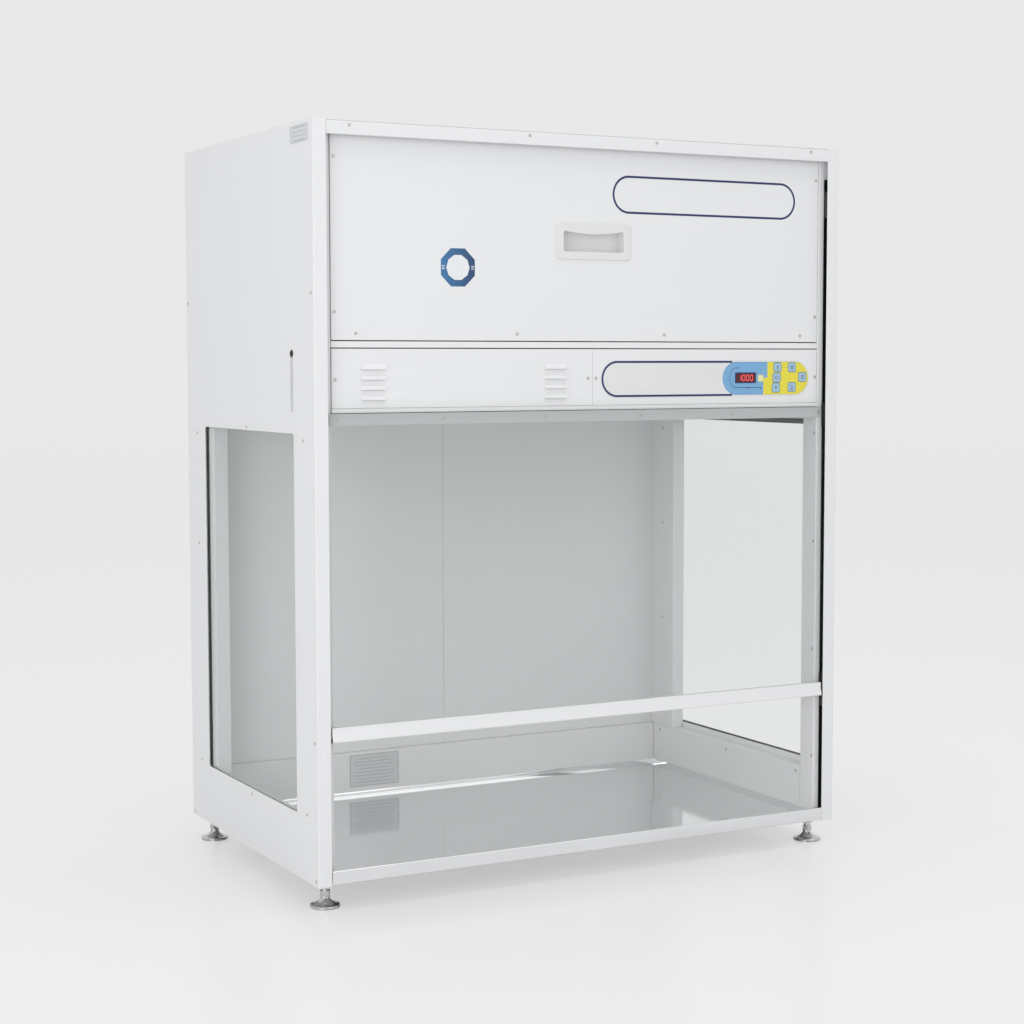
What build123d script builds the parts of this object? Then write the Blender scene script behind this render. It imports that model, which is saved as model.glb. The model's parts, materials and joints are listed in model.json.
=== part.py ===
import os
from math import radians, tan

from build123d import *

os.makedirs("parts", exist_ok=True)

# Frame: X to the right, Y to the back, Z up, with the floor at Z = 0 and the cabinet centred on X and Y.

# Cabinet
width = 1200
depth = 720
cabinet_height = 1440
foot_height = 50
sheet = 1.5
bend = 2.0
bend_tight = 1.6
seat_gap = 0.25

# Side panels and their windows
flange_width = 28
hem_length = 12
rear_flange = 20
window_front = 106
window_depth = 505
window_sill = 125
window_height = 730
window_radius = 6
window_overlap = 10
window_thickness = 5
gasket_thickness = 2

# Front posts, sash channels and the recess of the front panels
recess = 17
chamber_half = 560
post_depth = 48
channel_wall = 1.2
channel_gap = 0.2
channel_top = 1375

# Work chamber
back_wall_from_front = 676
lower_back_from_front = 664
ledge_height = 110
back_seam_x = -6
corner_post_depth = 96
ceiling_height = 895
tray_floor_height = 13
tray_upstand = 8
tray_lip_bottom = 2
tray_lip_top = 29
tray_lip_thickness = 5

# Base frame
rail_height = 36
front_rail_height = 11.2
rail_width = 44
tube_wall = 2.5

# Front panels
pan_depth = 14
fascia_bottom = 904
fascia_top = 1016
fascia_seam_x = 6
shelf_lip_bottom = 1018
shelf_top = 1030
filter_panel_bottom = 1032
rail_bottom = 1411
cover_drop = 2
panel_side_gap = 1.5
head_strip_bottom = 872
head_strip_top = 894

# Flush pull handle
handle_x = 8
handle_z = 1229.5
handle_width = 172
handle_height = 73
handle_rim = 2.5
handle_recess_width = 139
handle_recess_height = 42
handle_recess_depth = 24
handle_wall = 2

# Louvres
louvre_columns = (-473, -78)
louvre_top = 985.5
louvre_pitch = 19.2
louvre_count = 4
louvre_width = 50
louvre_rise = 9
louvre_bulge = 4
louvre_skin = 1

# Control panel
overlay_x = 282
overlay_z = 956
overlay_length = 514
overlay_height = 76
overlay_thickness = 0.6
key_size = 18
key_radius = 4
key_proud = 0.6
key_clearance = 0.4
key_lug = 2.0
key_lug_depth = 1.2
key_travel = 0.5
key_places = {
    "key_1": (457, 979),
    "key_2": (455, 957),
    "key_3": (453, 936),
    "key_4": (494, 978.5),
    "key_5": (521, 958),
    "key_6": (494, 937),
}
lamp_key_x = 414
lamp_key_z = 956
lamp_key_width = 13
lamp_key_height = 14
board_x = 400
board_length = 280
board_thickness = 1.6
switch_height = 2

# Filters and fan
prefilter_width = 1000
prefilter_depth = 480
prefilter_height = 20
filter_centre_from_front = 350
filter_width = 1080
filter_depth = 580
carbon_height = 100
hepa_height = 78
filter_wall = 12
filter_step = 0.3
pleat_count = 40
pleat_thickness = 4
lamp_length = 900
lamp_width = 60
lamp_height = 14
lamp_from_front = 82
deck_height = 30
inlet_radius = 96
inlet_flare = 22
impeller_radius = 140
impeller_eye_radius = 100
impeller_height = 74
blade_count = 7
blade_thickness = 2.5
blade_root_radius = 72
blade_tip_radius = 136
blade_sweep = 46
blade_bow = 1.06
hub_radius = 50
hub_height = 44
stator_height = 14
shaft_depth = 26
shaft_radius = 6
shaft_clearance = 0.06
bracket_half = 170
bracket_width = 60
grille_size = 420
grille_slots = 14
grille_slot_width = 12

# Sash
glass_thickness = 5
glass_from_front = 7.5
glass_half = 582
glass_top = 899
bar_bottom = 274
bar_height = 28
bar_half = 568.5
bar_lip = 0.4
slot_floor = 14
glass_fit = 0.1
guide_clearance = 0.3
guide_half = 594
guide_height = 49
cap_half = 571.3
sash_travel = 390
stop_height = 24
top_stop_height = 55

# Counterbalance
sheave_radius = 17.5
sheave_pitch_radius = 15.5
sheave_thickness = 6
sheave_x = 590.3
sheave_height = 1400
cable_radius = 1
weight_width = 28
weight_depth = 36
weight_length = 590
weight_x = 580
weight_from_front = 40
weight_top_height = 1367
pin_radius = 3
pin_clearance = 0.05

# Levelling feet
foot_x = 568
foot_inset = 48
foot_radius = 29
pad_height = 4
stem_radius = 6
stem_clearance = 0.08
boss_radius = 12.5
boss_height = 13
foot_hex = 18
stem_top = 28

# Cable outlet, mains inlet and screws
grommet_from_front = 111
grommet_height = 1007
grommet_radius = 7
grommet_hole_radius = 5.5
inlet_x = 440
inlet_height = 1340
inlet_width = 28
inlet_opening_height = 21
inlet_depth = 20
screw_head_radius = 3.4
screw_head_height = 1.2
screw_radius = 2
screw_hole_radius = 2.1

# Planes worked out from the sizes above
front = -depth / 2
back = depth / 2
bottom = foot_height
top = bottom + cabinet_height
outer = width / 2
web_inner = outer - sheet
recess_y = front + recess
channel_rear_y = recess_y - channel_gap
hem_thickness = 2 * sheet + 0.4
channel_front_y = front + hem_thickness + channel_gap
gasket_inner = web_inner - gasket_thickness
window_inner = gasket_inner - window_thickness
glazing_lip = window_inner - seat_gap
glass_y = front + glass_from_front
cover_z = top - cover_drop
ceiling_z = bottom + ceiling_height
ledge_z = bottom + ledge_height
tray_z = bottom + tray_floor_height
back_wall_y = front + back_wall_from_front
lower_back_y = front + lower_back_from_front
panel_half = chamber_half - panel_side_gap
rear_panel_y = back - sheet
sheave_y = glass_y + glass_thickness / 2 + sheave_pitch_radius
sheave_z = bottom + sheave_height

# Screws: places on each face, heights above the cabinet's bottom turned into heights above the floor
side_screws = [
    (front + y, bottom + z)
    for y, z in (
        (709, 1118), (13, 1119), (659, 841), (359, 861), (58, 843), (656, 604),
        (654, 131), (351, 114), (12, 275), (56, 130), (706, 8), (12, 10),
    )
]
rear_screw_heights = [bottom + z for z in (40, 310, 580, 850, 1120, 1400)]
rail_screws = [(x, bottom + 1429) for x in (-526, -145, 145, 526)]
filter_panel_screws = [
    (x, bottom + z)
    for x, z in (
        (-552, 1372), (552, 1372), (-552, 1085), (552, 1085),
        (-509, 1045), (-165, 1045), (175, 1045), (514, 1045),
    )
]
louvre_panel_screws = [(-551.5, bottom + 958), (-4.5, bottom + 958)]
control_panel_screws = [(14, bottom + 958), (553.5, bottom + 958)]
head_strip_screws = [(x, bottom + 883) for x in (-551, -329, -106, 117, 340, 562)]
top_screws = [(x, y) for x in (-540, -180, 180, 540) for y in (front + 40, back - 30)]
post_screws = [(recess_y + 7, bottom + z) for z in (140, 373, 606, 839)]
corner_post_screws = [(front + 626, bottom + z) for z in (145, 374, 604, 833)]
liner_screws = [(front + y, bottom + 97) for y in (80, 351, 636)]

pieces = {}


def finish(piece, name):
    """Label a finished piece and write its STEP file."""
    piece.part.label = name
    export_step(piece.part, f"parts/{name}.step")
    pieces[name] = piece


def folded_sheet(plane, outline, length, radius=bend, side=Side.LEFT):
    """A sheet folded along an outline and as long as the fold, its stock on one side of the outline."""
    with BuildPart() as folded:
        with BuildSketch(plane):
            with BuildLine():
                FilletPolyline(*outline, radius=radius)
                offset(amount=sheet, side=side)
            make_face()
        extrude(amount=length)
    return folded.part


def blade_section(inner, middle, outer_end):
    """The section of one curved blade through three points."""
    with BuildSketch() as section:
        with BuildLine():
            ThreePointArc(inner, middle, outer_end)
            offset(amount=blade_thickness, side=Side.LEFT)
        make_face()
    return section.sketch


def along_x(x_start):
    """A plane whose axes are the cabinet's Y and Z, at one X."""
    return Plane.YZ.offset(x_start)


def facing_front(y_start):
    """A plane whose axes are the cabinet's X and Z, facing the front, at one Y."""
    return Plane.XZ.offset(-y_start)


# Side panels: one sheet each, folded at the front with a hem and at the rear with a flange
hem_radius = hem_thickness / 2 - 0.1
side_outline = [
    (-outer + rear_flange, back),
    (-outer, back),
    (-outer, front),
    (-outer + flange_width, front),
    (-outer + flange_width, front + hem_thickness),
    (-outer + flange_width - hem_length, front + hem_thickness),
]
with BuildPart() as side_panel_blank:
    add(
        folded_sheet(
            Plane.XY.offset(bottom),
            side_outline,
            cabinet_height,
            radius=[bend, bend, hem_radius, hem_radius],
        )
    )
    window_y = front + window_front + window_depth / 2
    window_z = bottom + window_sill + window_height / 2
    with BuildSketch(along_x(-outer)):
        with Locations((window_y, window_z)):
            RectangleRounded(window_depth, window_height, window_radius)
        with Locations(*side_screws):
            Circle(screw_hole_radius)
    extrude(amount=sheet, mode=Mode.SUBTRACT)
    with BuildSketch(facing_front(back)):
        with Locations(*[(-outer + rear_flange / 2, z) for z in rear_screw_heights]):
            Circle(screw_hole_radius)
    extrude(amount=sheet, mode=Mode.SUBTRACT)
    with BuildSketch(along_x(-web_inner)):
        with Locations((sheave_y, sheave_z)):
            Circle(pin_radius + 2)
    extrude(amount=web_inner - sheave_x - sheave_thickness / 2 - seat_gap)
    with BuildSketch(along_x(-web_inner)):
        with Locations((sheave_y, sheave_z)):
            Circle(pin_radius)
    extrude(amount=web_inner - sheave_x + sheave_thickness / 2 + 1)

with BuildPart() as side_panel_left:
    add(side_panel_blank.part)
    with BuildSketch(along_x(-outer)):
        with Locations((front + grommet_from_front, bottom + grommet_height)):
            Circle(grommet_hole_radius)
    extrude(amount=sheet, mode=Mode.SUBTRACT)
finish(side_panel_left, "side_panel_left")

with BuildPart() as side_panel_right:
    mirror(side_panel_blank.part, about=Plane.YZ)
finish(side_panel_right, "side_panel_right")

# Side windows and the gaskets behind the panel's edge
glazing_depth = window_depth + 2 * window_overlap
glazing_height = window_height + 2 * window_overlap
with BuildPart() as side_window_left:
    with BuildSketch(Plane.YZ.offset(-gasket_inner)):
        with Locations((window_y, window_z)):
            RectangleRounded(glazing_depth, glazing_height, window_radius)
    extrude(amount=window_thickness)
finish(side_window_left, "side_window_left")

with BuildPart() as side_window_right:
    mirror(side_window_left.part, about=Plane.YZ)
finish(side_window_right, "side_window_right")

with BuildPart() as window_gaskets:
    with BuildSketch(Plane.YZ.offset(-web_inner)):
        with Locations((window_y, window_z)):
            RectangleRounded(glazing_depth, glazing_height, window_radius)
            RectangleRounded(window_depth, window_height, window_radius, mode=Mode.SUBTRACT)
    extrude(amount=gasket_thickness)
    mirror(about=Plane.YZ)
finish(window_gaskets, "window_gaskets")

# Front posts: a folded sheet that boxes in the counterweight and holds the window's front edge
post_bottom = bottom + front_rail_height + seat_gap
post_height = cover_z - 2 * sheet - 2 * seat_gap - post_bottom
sill_lip_top = bottom + window_sill - 2
post_outline = [
    (-web_inner + seat_gap, recess_y),
    (-chamber_half, recess_y),
    (-chamber_half, recess_y + post_depth),
    (-glazing_lip + sheet, recess_y + post_depth),
    (-glazing_lip + sheet, front + window_front - 2),
]
with BuildPart() as front_post_left:
    add(folded_sheet(Plane.XY.offset(post_bottom), post_outline, post_height))
    slot_width = sheave_thickness + 6
    slot_bottom = bottom + channel_top
    with BuildSketch(Plane.XY.offset(slot_bottom)):
        with Locations((-sheave_x, recess_y)):
            Rectangle(slot_width, 4 * sheet)
    extrude(amount=top - slot_bottom, mode=Mode.SUBTRACT)
    with BuildSketch(Plane.XY.offset(bottom)):
        with Locations((-glazing_lip - 1, recess_y + post_depth)):
            Rectangle(2 * sheet + 2, window_front, align=Align.MIN)
    extrude(amount=sill_lip_top + seat_gap - bottom, mode=Mode.SUBTRACT)
    with BuildSketch(along_x(-chamber_half)):
        with Locations(*post_screws):
            Circle(screw_hole_radius)
    extrude(amount=-sheet, mode=Mode.SUBTRACT)
finish(front_post_left, "front_post_left")

with BuildPart() as front_post_right:
    mirror(front_post_left.part, about=Plane.YZ)
finish(front_post_right, "front_post_right")

# Sash channels: a U section open towards the glass, between the hem and the post
channel_web = web_inner - seat_gap
channel_open = outer - flange_width + 1.5
with BuildPart() as sash_channels:
    with BuildSketch(Plane.XY.offset(bottom + 2)):
        with BuildLine():
            Polyline(
                (-channel_open, channel_front_y),
                (-channel_web, channel_front_y),
                (-channel_web, channel_rear_y),
                (-channel_open, channel_rear_y),
            )
            offset(amount=channel_wall, side=Side.RIGHT, kind=Kind.INTERSECTION)
        make_face()
    extrude(amount=channel_top - 2 - seat_gap)
    mirror(about=Plane.YZ)
finish(sash_channels, "sash_channels")

# Rear corner posts: hold the window's rear edge and carry the back wall
corner_front_y = back_wall_y - corner_post_depth
corner_outline = [
    (-glazing_lip, front + window_front + window_depth - 1),
    (-glazing_lip, corner_front_y),
    (-chamber_half, corner_front_y),
    (-chamber_half, back_wall_y + sheet + seat_gap),
    (-chamber_half + 25, back_wall_y + sheet + seat_gap),
]
corner_bottom = ledge_z + seat_gap
with BuildPart() as rear_corner_posts:
    add(
        folded_sheet(
            Plane.XY.offset(corner_bottom),
            corner_outline,
            ceiling_z - seat_gap - corner_bottom,
            radius=[bend, bend, 0.2],
        )
    )
    with BuildSketch(Plane.XY.offset(corner_bottom)):
        with Locations((-glazing_lip - 1, corner_front_y - 1)):
            Rectangle(2 * sheet + 1, corner_post_depth, align=Align.MIN)
    extrude(amount=sill_lip_top + seat_gap - corner_bottom, mode=Mode.SUBTRACT)
    with BuildSketch(along_x(-chamber_half)):
        with Locations(*corner_post_screws):
            Circle(screw_hole_radius)
    extrude(amount=-sheet, mode=Mode.SUBTRACT)
    mirror(about=Plane.YZ)
finish(rear_corner_posts, "rear_corner_posts")

# Side liners under the windows, with a sill and a lip against the glass
liner_front_y = recess_y + post_depth + seat_gap
liner_rear_y = lower_back_y - seat_gap
liner_outline = [
    (-chamber_half, tray_z + seat_gap),
    (-chamber_half, ledge_z),
    (-glazing_lip + sheet, ledge_z),
    (-glazing_lip + sheet, sill_lip_top),
]
with BuildPart() as side_liners:
    with BuildSketch(facing_front(liner_front_y)):
        with BuildLine():
            FilletPolyline(*liner_outline, radius=bend)
            offset(amount=sheet, side=Side.LEFT)
        make_face()
    extrude(amount=-(liner_rear_y - liner_front_y))
    with BuildSketch(along_x(-chamber_half)):
        with Locations(*liner_screws):
            Circle(screw_hole_radius)
    extrude(amount=-sheet, mode=Mode.SUBTRACT)
    mirror(about=Plane.YZ)
finish(side_liners, "side_liners")

# Back of the work chamber: two upper panels over a lower panel with a narrow ledge
wall_bottom = ledge_z + seat_gap
wall_height = ceiling_z - seat_gap - wall_bottom
wall_plane = Plane.XY.offset(wall_bottom)
with BuildPart() as back_wall_left:
    with BuildSketch(wall_plane):
        with Locations((-chamber_half + seat_gap, back_wall_y)):
            Rectangle(
                back_seam_x + chamber_half - 2 * seat_gap, sheet, align=(Align.MIN, Align.MIN)
            )
    extrude(amount=wall_height)
finish(back_wall_left, "back_wall_left")

with BuildPart() as back_wall_right:
    with BuildSketch(wall_plane):
        with Locations((back_seam_x + seat_gap, back_wall_y)):
            Rectangle(
                chamber_half - back_seam_x - 2 * seat_gap, sheet, align=(Align.MIN, Align.MIN)
            )
    extrude(amount=wall_height)
finish(back_wall_right, "back_wall_right")

lower_back_outline = [
    (lower_back_y, tray_z + seat_gap),
    (lower_back_y, ledge_z),
    (back_wall_y + sheet, ledge_z),
]
with BuildPart() as lower_back_panel:
    add(
        folded_sheet(
            along_x(-chamber_half + seat_gap),
            lower_back_outline,
            2 * (chamber_half - seat_gap),
            side=Side.RIGHT,
        )
    )
finish(lower_back_panel, "lower_back_panel")

# Outer rear panel, inside the rear flanges
rear_half = web_inner - seat_gap
with BuildPart() as rear_panel:
    with BuildSketch(Plane.XY.offset(bottom)):
        with Locations((0, rear_panel_y - seat_gap)):
            Rectangle(2 * rear_half, sheet, align=(Align.CENTER, Align.MAX))
    extrude(amount=cover_z - sheet - seat_gap - bottom)
    with BuildSketch(facing_front(back)):
        with Locations((inlet_x, bottom + inlet_height)):
            Rectangle(inlet_width, inlet_opening_height)
    extrude(amount=5 * sheet, mode=Mode.SUBTRACT)
finish(rear_panel, "rear_panel")

# Worktop tray: a polished floor, low upstands and a raised front lip between the flanges
tray_half = chamber_half - seat_gap
lip_half = cap_half
tray_rear_y = lower_back_y - seat_gap
lip_front_y = front + seat_gap
lip_rear_y = lip_front_y + tray_lip_thickness
with BuildPart() as worktop_tray:
    with BuildSketch(along_x(-lip_half)):
        with BuildLine():
            FilletPolyline(
                (lip_rear_y, bottom + tray_lip_bottom),
                (lip_front_y, bottom + tray_lip_bottom),
                (lip_front_y, bottom + tray_lip_top),
                (lip_rear_y, bottom + tray_lip_top),
                (lip_rear_y, tray_z - sheet),
                radius=[bend_tight, bend, bend],
            )
            offset(amount=sheet, side=Side.RIGHT, kind=Kind.INTERSECTION)
        make_face()
    extrude(amount=2 * lip_half)
    with BuildSketch(Plane.XY.offset(tray_z - sheet)):
        with Locations((0, lip_rear_y - sheet)):
            Rectangle(2 * lip_half, recess_y - seat_gap - lip_rear_y + sheet, align=(Align.CENTER, Align.MIN))
        with Locations((0, lip_rear_y - sheet)):
            Rectangle(2 * tray_half, tray_rear_y - lip_rear_y + sheet, align=(Align.CENTER, Align.MIN))
    extrude(amount=sheet)
    with BuildSketch(Plane.XY.offset(tray_z - sheet)):
        with Locations((0, recess_y)):
            Rectangle(2 * tray_half, tray_rear_y - recess_y, align=(Align.CENTER, Align.MIN))
        with Locations((0, recess_y - sheet)):
            Rectangle(
                2 * (tray_half - sheet), tray_rear_y - recess_y, align=(Align.CENTER, Align.MIN), mode=Mode.SUBTRACT
            )
    extrude(amount=tray_upstand + sheet)
finish(worktop_tray, "worktop_tray")

# Base frame: square tube at the sides and rear, flat tube under the tray, bosses for the feet
frame_half = web_inner - 1
frame_front_y = recess_y + 2
frame_rear_y = rear_panel_y - sheet - 1
foot_y = depth / 2 - foot_inset
foot_places = [(-foot_x, -foot_y), (foot_x, -foot_y), (-foot_x, foot_y), (foot_x, foot_y)]
side_rail_front_y = recess_y + post_depth + 1
front_rail_rear_y = side_rail_front_y + tube_wall
side_rail_inner = chamber_half + sheet + 1
rear_rail_front_y = lower_back_y + sheet + 1
with BuildPart() as base_frame:
    with BuildSketch(Plane.XY.offset(bottom)):
        with Locations((0, side_rail_front_y)):
            Rectangle(2 * frame_half, frame_rear_y - side_rail_front_y, align=(Align.CENTER, Align.MIN))
            Rectangle(
                2 * side_rail_inner,
                rear_rail_front_y - side_rail_front_y,
                align=(Align.CENTER, Align.MIN),
                mode=Mode.SUBTRACT,
            )
    extrude(amount=rail_height)
    with BuildSketch(Plane.XY.offset(bottom)):
        with Locations((0, frame_front_y)):
            Rectangle(2 * frame_half, front_rail_rear_y - frame_front_y, align=(Align.CENTER, Align.MIN))
        Rectangle(2 * frame_half, rail_width)
    extrude(amount=front_rail_height)
    with BuildSketch(Plane.XY.offset(bottom + tube_wall)):
        with Locations((0, side_rail_front_y + tube_wall)):
            Rectangle(
                2 * (frame_half - tube_wall),
                frame_rear_y - side_rail_front_y - 2 * tube_wall,
                align=(Align.CENTER, Align.MIN),
            )
            Rectangle(
                2 * (side_rail_inner + tube_wall),
                rear_rail_front_y - side_rail_front_y,
                align=(Align.CENTER, Align.MIN),
                mode=Mode.SUBTRACT,
            )
    extrude(amount=rail_height - 2 * tube_wall, mode=Mode.SUBTRACT)
    with BuildSketch(Plane.XY.offset(bottom + tube_wall)):
        with Locations((0, frame_front_y + tube_wall)):
            Rectangle(
                2 * (frame_half - tube_wall), rail_width - 2 * tube_wall, align=(Align.CENTER, Align.MIN)
            )
        Rectangle(2 * side_rail_inner, rail_width - 2 * tube_wall)
    extrude(amount=front_rail_height - 2 * tube_wall, mode=Mode.SUBTRACT)
    with BuildSketch(Plane.XY.offset(bottom)):
        with Locations(*foot_places):
            Circle(boss_radius)
    extrude(amount=-boss_height)
    chamfer(base_frame.edges().group_by(Axis.Z)[0], length=2.5)
    with BuildSketch(Plane.XY.offset(bottom - boss_height)):
        with Locations(*foot_places):
            Circle(stem_radius + stem_clearance)
    extrude(amount=boss_height + stem_top + 5, mode=Mode.SUBTRACT)
finish(base_frame, "base_frame")

# Levelling feet: a threaded stem over a hexagon and a pressed dome with a moulded-on pad
for foot_name, place in zip(
    ("foot_front_left", "foot_front_right", "foot_rear_left", "foot_rear_right"), foot_places
):
    with BuildPart(mode=Mode.PRIVATE) as foot:
        with BuildSketch(Plane(origin=(place[0], place[1], 0), x_dir=(1, 0, 0), z_dir=(0, -1, 0))):
            with BuildLine():
                Polyline((0, 0), (foot_radius - 1, 0), (foot_radius, 1), (foot_radius, pad_height))
                Line((foot_radius, pad_height), (foot_radius - 0.8, pad_height + 1.6))
                Spline(
                    (foot_radius - 0.8, pad_height + 1.6),
                    (boss_radius + 2, pad_height + 7),
                    (foot_hex / 2, pad_height + 13),
                )
                Polyline(
                    (foot_hex / 2, pad_height + 13),
                    (foot_hex / 2, foot_height - boss_height - 14),
                    (0, foot_height - boss_height - 14),
                    (0, 0),
                )
            make_face()
        revolve(axis=Axis(origin=(place[0], place[1], 0), direction=(0, 0, 1)))
        with BuildSketch(Plane.XY.offset(foot_height - boss_height - 14)):
            with Locations(place):
                RegularPolygon(radius=foot_hex / 2, side_count=6, major_radius=False)
        extrude(amount=9)
        with BuildSketch(Plane.XY.offset(foot_height - boss_height - 14)):
            with Locations(place):
                Circle(stem_radius)
        extrude(amount=boss_height + 14 + stem_top)
        chamfer(foot.faces().sort_by(Axis.Z)[-1].edges(), length=1)
    finish(foot, foot_name)

# Top rail: the front edge under the top panel, flush with the flanges
rail_half = outer - flange_width - seat_gap
with BuildPart() as top_rail:
    add(
        folded_sheet(
            along_x(-rail_half),
            [
                (front + 4, bottom + rail_bottom),
                (front, bottom + rail_bottom),
                (front, cover_z - sheet - seat_gap),
                (recess_y + 12, cover_z - sheet - seat_gap),
            ],
            2 * rail_half,
            radius=[bend_tight, bend_tight],
            side=Side.RIGHT,
        )
    )
    with BuildSketch(facing_front(front)):
        with Locations(*rail_screws):
            Circle(screw_hole_radius)
    extrude(amount=-sheet, mode=Mode.SUBTRACT)
finish(top_rail, "top_rail")

# Top panel with the exhaust opening and its grille
grille_y = front + filter_centre_from_front
with BuildPart() as top_panel:
    with BuildSketch(Plane.XY.offset(cover_z - sheet)):
        with Locations((0, front + seat_gap)):
            Rectangle(2 * rail_half, flange_width, align=(Align.CENTER, Align.MIN))
            Rectangle(
                2 * (web_inner - seat_gap), depth - 2 * sheet - 3 * seat_gap, align=(Align.CENTER, Align.MIN)
            )
        with Locations((-web_inner, front), (web_inner, front)):
            Rectangle(2 * (web_inner - rail_half), 2 * hem_thickness + 1, mode=Mode.SUBTRACT)
        with Locations((0, grille_y)):
            Rectangle(grille_size - 40, grille_size - 40, mode=Mode.SUBTRACT)
        with Locations(*top_screws):
            Circle(screw_hole_radius, mode=Mode.SUBTRACT)
    extrude(amount=sheet)
finish(top_panel, "top_panel")

with BuildPart() as exhaust_grille:
    slot_length = (grille_size - 90) / 2
    with BuildSketch(Plane.XY.offset(cover_z)):
        with Locations((0, grille_y)):
            RectangleRounded(grille_size, grille_size, 8)
            with GridLocations(slot_length + 20, 1.9 * grille_slot_width, 2, grille_slots):
                SlotOverall(slot_length, grille_slot_width, mode=Mode.SUBTRACT)
    extrude(amount=sheet)
finish(exhaust_grille, "exhaust_grille")

# Filter access panel: a pan with returned edges and a cut-out for the pull handle
filter_panel_z = bottom + filter_panel_bottom
filter_panel_height = cover_z - 2 * sheet - 2 * seat_gap - filter_panel_z
with BuildPart() as filter_access_panel:
    with BuildSketch(facing_front(recess_y)):
        with Locations((0, filter_panel_z)):
            RectangleRounded(2 * panel_half, filter_panel_height, 1, align=(Align.CENTER, Align.MIN))
    extrude(amount=-pan_depth)
    offset(amount=-sheet, openings=filter_access_panel.faces().sort_by(Axis.Y)[-1])
    with BuildSketch(facing_front(recess_y)):
        with Locations((handle_x, bottom + handle_z)):
            RectangleRounded(
                handle_recess_width + 2 * handle_wall + 1, handle_recess_height + 2 * handle_wall + 1, 7
            )
        with Locations(*filter_panel_screws):
            Circle(screw_hole_radius)
    extrude(amount=-sheet, mode=Mode.SUBTRACT)
finish(filter_access_panel, "filter_access_panel")

# Flush pull handle: a moulded tub behind a rounded rim, its upper edge bowed for the fingers
with BuildPart() as flush_pull_handle:
    with BuildSketch(facing_front(recess_y)):
        with Locations((handle_x, bottom + handle_z)):
            RectangleRounded(handle_width, handle_height, 9)
    extrude(amount=handle_rim)
    fillet(flush_pull_handle.faces().sort_by(Axis.Y)[0].edges(), radius=handle_rim * 0.7)
    with BuildSketch(facing_front(recess_y)):
        with Locations((handle_x, bottom + handle_z)):
            RectangleRounded(handle_recess_width + 2 * handle_wall, handle_recess_height + 2 * handle_wall, 7)
    extrude(amount=-handle_recess_depth)
    with BuildSketch(facing_front(recess_y - handle_rim)):
        recess_left = handle_x - handle_recess_width / 2
        recess_right = handle_x + handle_recess_width / 2
        recess_low = bottom + handle_z - handle_recess_height / 2
        recess_high = bottom + handle_z + handle_recess_height / 2
        with BuildLine():
            Polyline(
                (recess_left, recess_high), (recess_left, recess_low), (recess_right, recess_low), (recess_right, recess_high)
            )
            ThreePointArc(
                (recess_right, recess_high), (handle_x, recess_high - 7), (recess_left, recess_high)
            )
        make_face()
        fillet(vertices(), radius=5)
    extrude(amount=-(handle_rim + handle_recess_depth - handle_wall), mode=Mode.SUBTRACT)
finish(flush_pull_handle, "flush_pull_handle")

# Filter shelf: its front lip is the narrow strip between the front panels
shelf_half = chamber_half - seat_gap
shelf_rear_y = back_wall_y
with BuildPart() as filter_shelf:
    add(
        folded_sheet(
            along_x(-shelf_half),
            [
                (recess_y, bottom + shelf_lip_bottom),
                (recess_y, bottom + shelf_top),
                (shelf_rear_y, bottom + shelf_top),
                (shelf_rear_y, bottom + shelf_lip_bottom),
            ],
            2 * shelf_half,
            side=Side.RIGHT,
        )
    )
    with BuildSketch(Plane.XY.offset(bottom + shelf_top)):
        with Locations((0, front + filter_centre_from_front)):
            Rectangle(filter_width - 50, filter_depth - 50)
    extrude(amount=-2 * sheet, mode=Mode.SUBTRACT)
finish(filter_shelf, "filter_shelf")

# Louvre panel: a pan with two columns of pressed louvres, open underneath
fascia_z = bottom + fascia_bottom
fascia_height = fascia_top - fascia_bottom
louvre_places = [
    (x, bottom + louvre_top - row * louvre_pitch) for x in louvre_columns for row in range(louvre_count)
]
with BuildPart() as louvre_panel:
    louvre_panel_width = fascia_seam_x - seat_gap + panel_half
    with BuildSketch(facing_front(recess_y)):
        with Locations((-panel_half, fascia_z)):
            Rectangle(louvre_panel_width, fascia_height, align=(Align.MIN, Align.MIN))
    extrude(amount=-pan_depth)
    offset(amount=-sheet, openings=louvre_panel.faces().sort_by(Axis.Y)[-1])
    with BuildSketch(facing_front(recess_y)):
        with Locations(*louvre_panel_screws):
            Circle(screw_hole_radius)
    extrude(amount=-sheet, mode=Mode.SUBTRACT)
    for louvre_x, louvre_z in louvre_places:
        low_z = louvre_z - louvre_rise
        with BuildSketch(along_x(louvre_x - louvre_width / 2)):
            with BuildLine():
                Polyline((recess_y, low_z), (recess_y, louvre_z))
                ThreePointArc(
                    (recess_y, louvre_z),
                    (recess_y - 0.72 * louvre_bulge, louvre_z - 0.4 * louvre_rise),
                    (recess_y - louvre_bulge, low_z),
                )
                Line((recess_y - louvre_bulge, low_z), (recess_y, low_z))
            make_face()
        extrude(amount=louvre_width)
        with BuildSketch(along_x(louvre_x - louvre_width / 2 + louvre_skin)):
            with BuildLine():
                Polyline((recess_y + sheet, low_z), (recess_y + sheet, louvre_z), (recess_y, louvre_z - louvre_skin))
                ThreePointArc(
                    (recess_y, louvre_z - louvre_skin),
                    (recess_y - 0.72 * louvre_bulge + louvre_skin, louvre_z - 0.4 * louvre_rise - 0.3),
                    (recess_y - louvre_bulge + louvre_skin, low_z),
                )
                Line((recess_y - louvre_bulge + louvre_skin, low_z), (recess_y + sheet, low_z))
            make_face()
        extrude(amount=louvre_width - 2 * louvre_skin, mode=Mode.SUBTRACT)
finish(louvre_panel, "louvre_panel")

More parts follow.
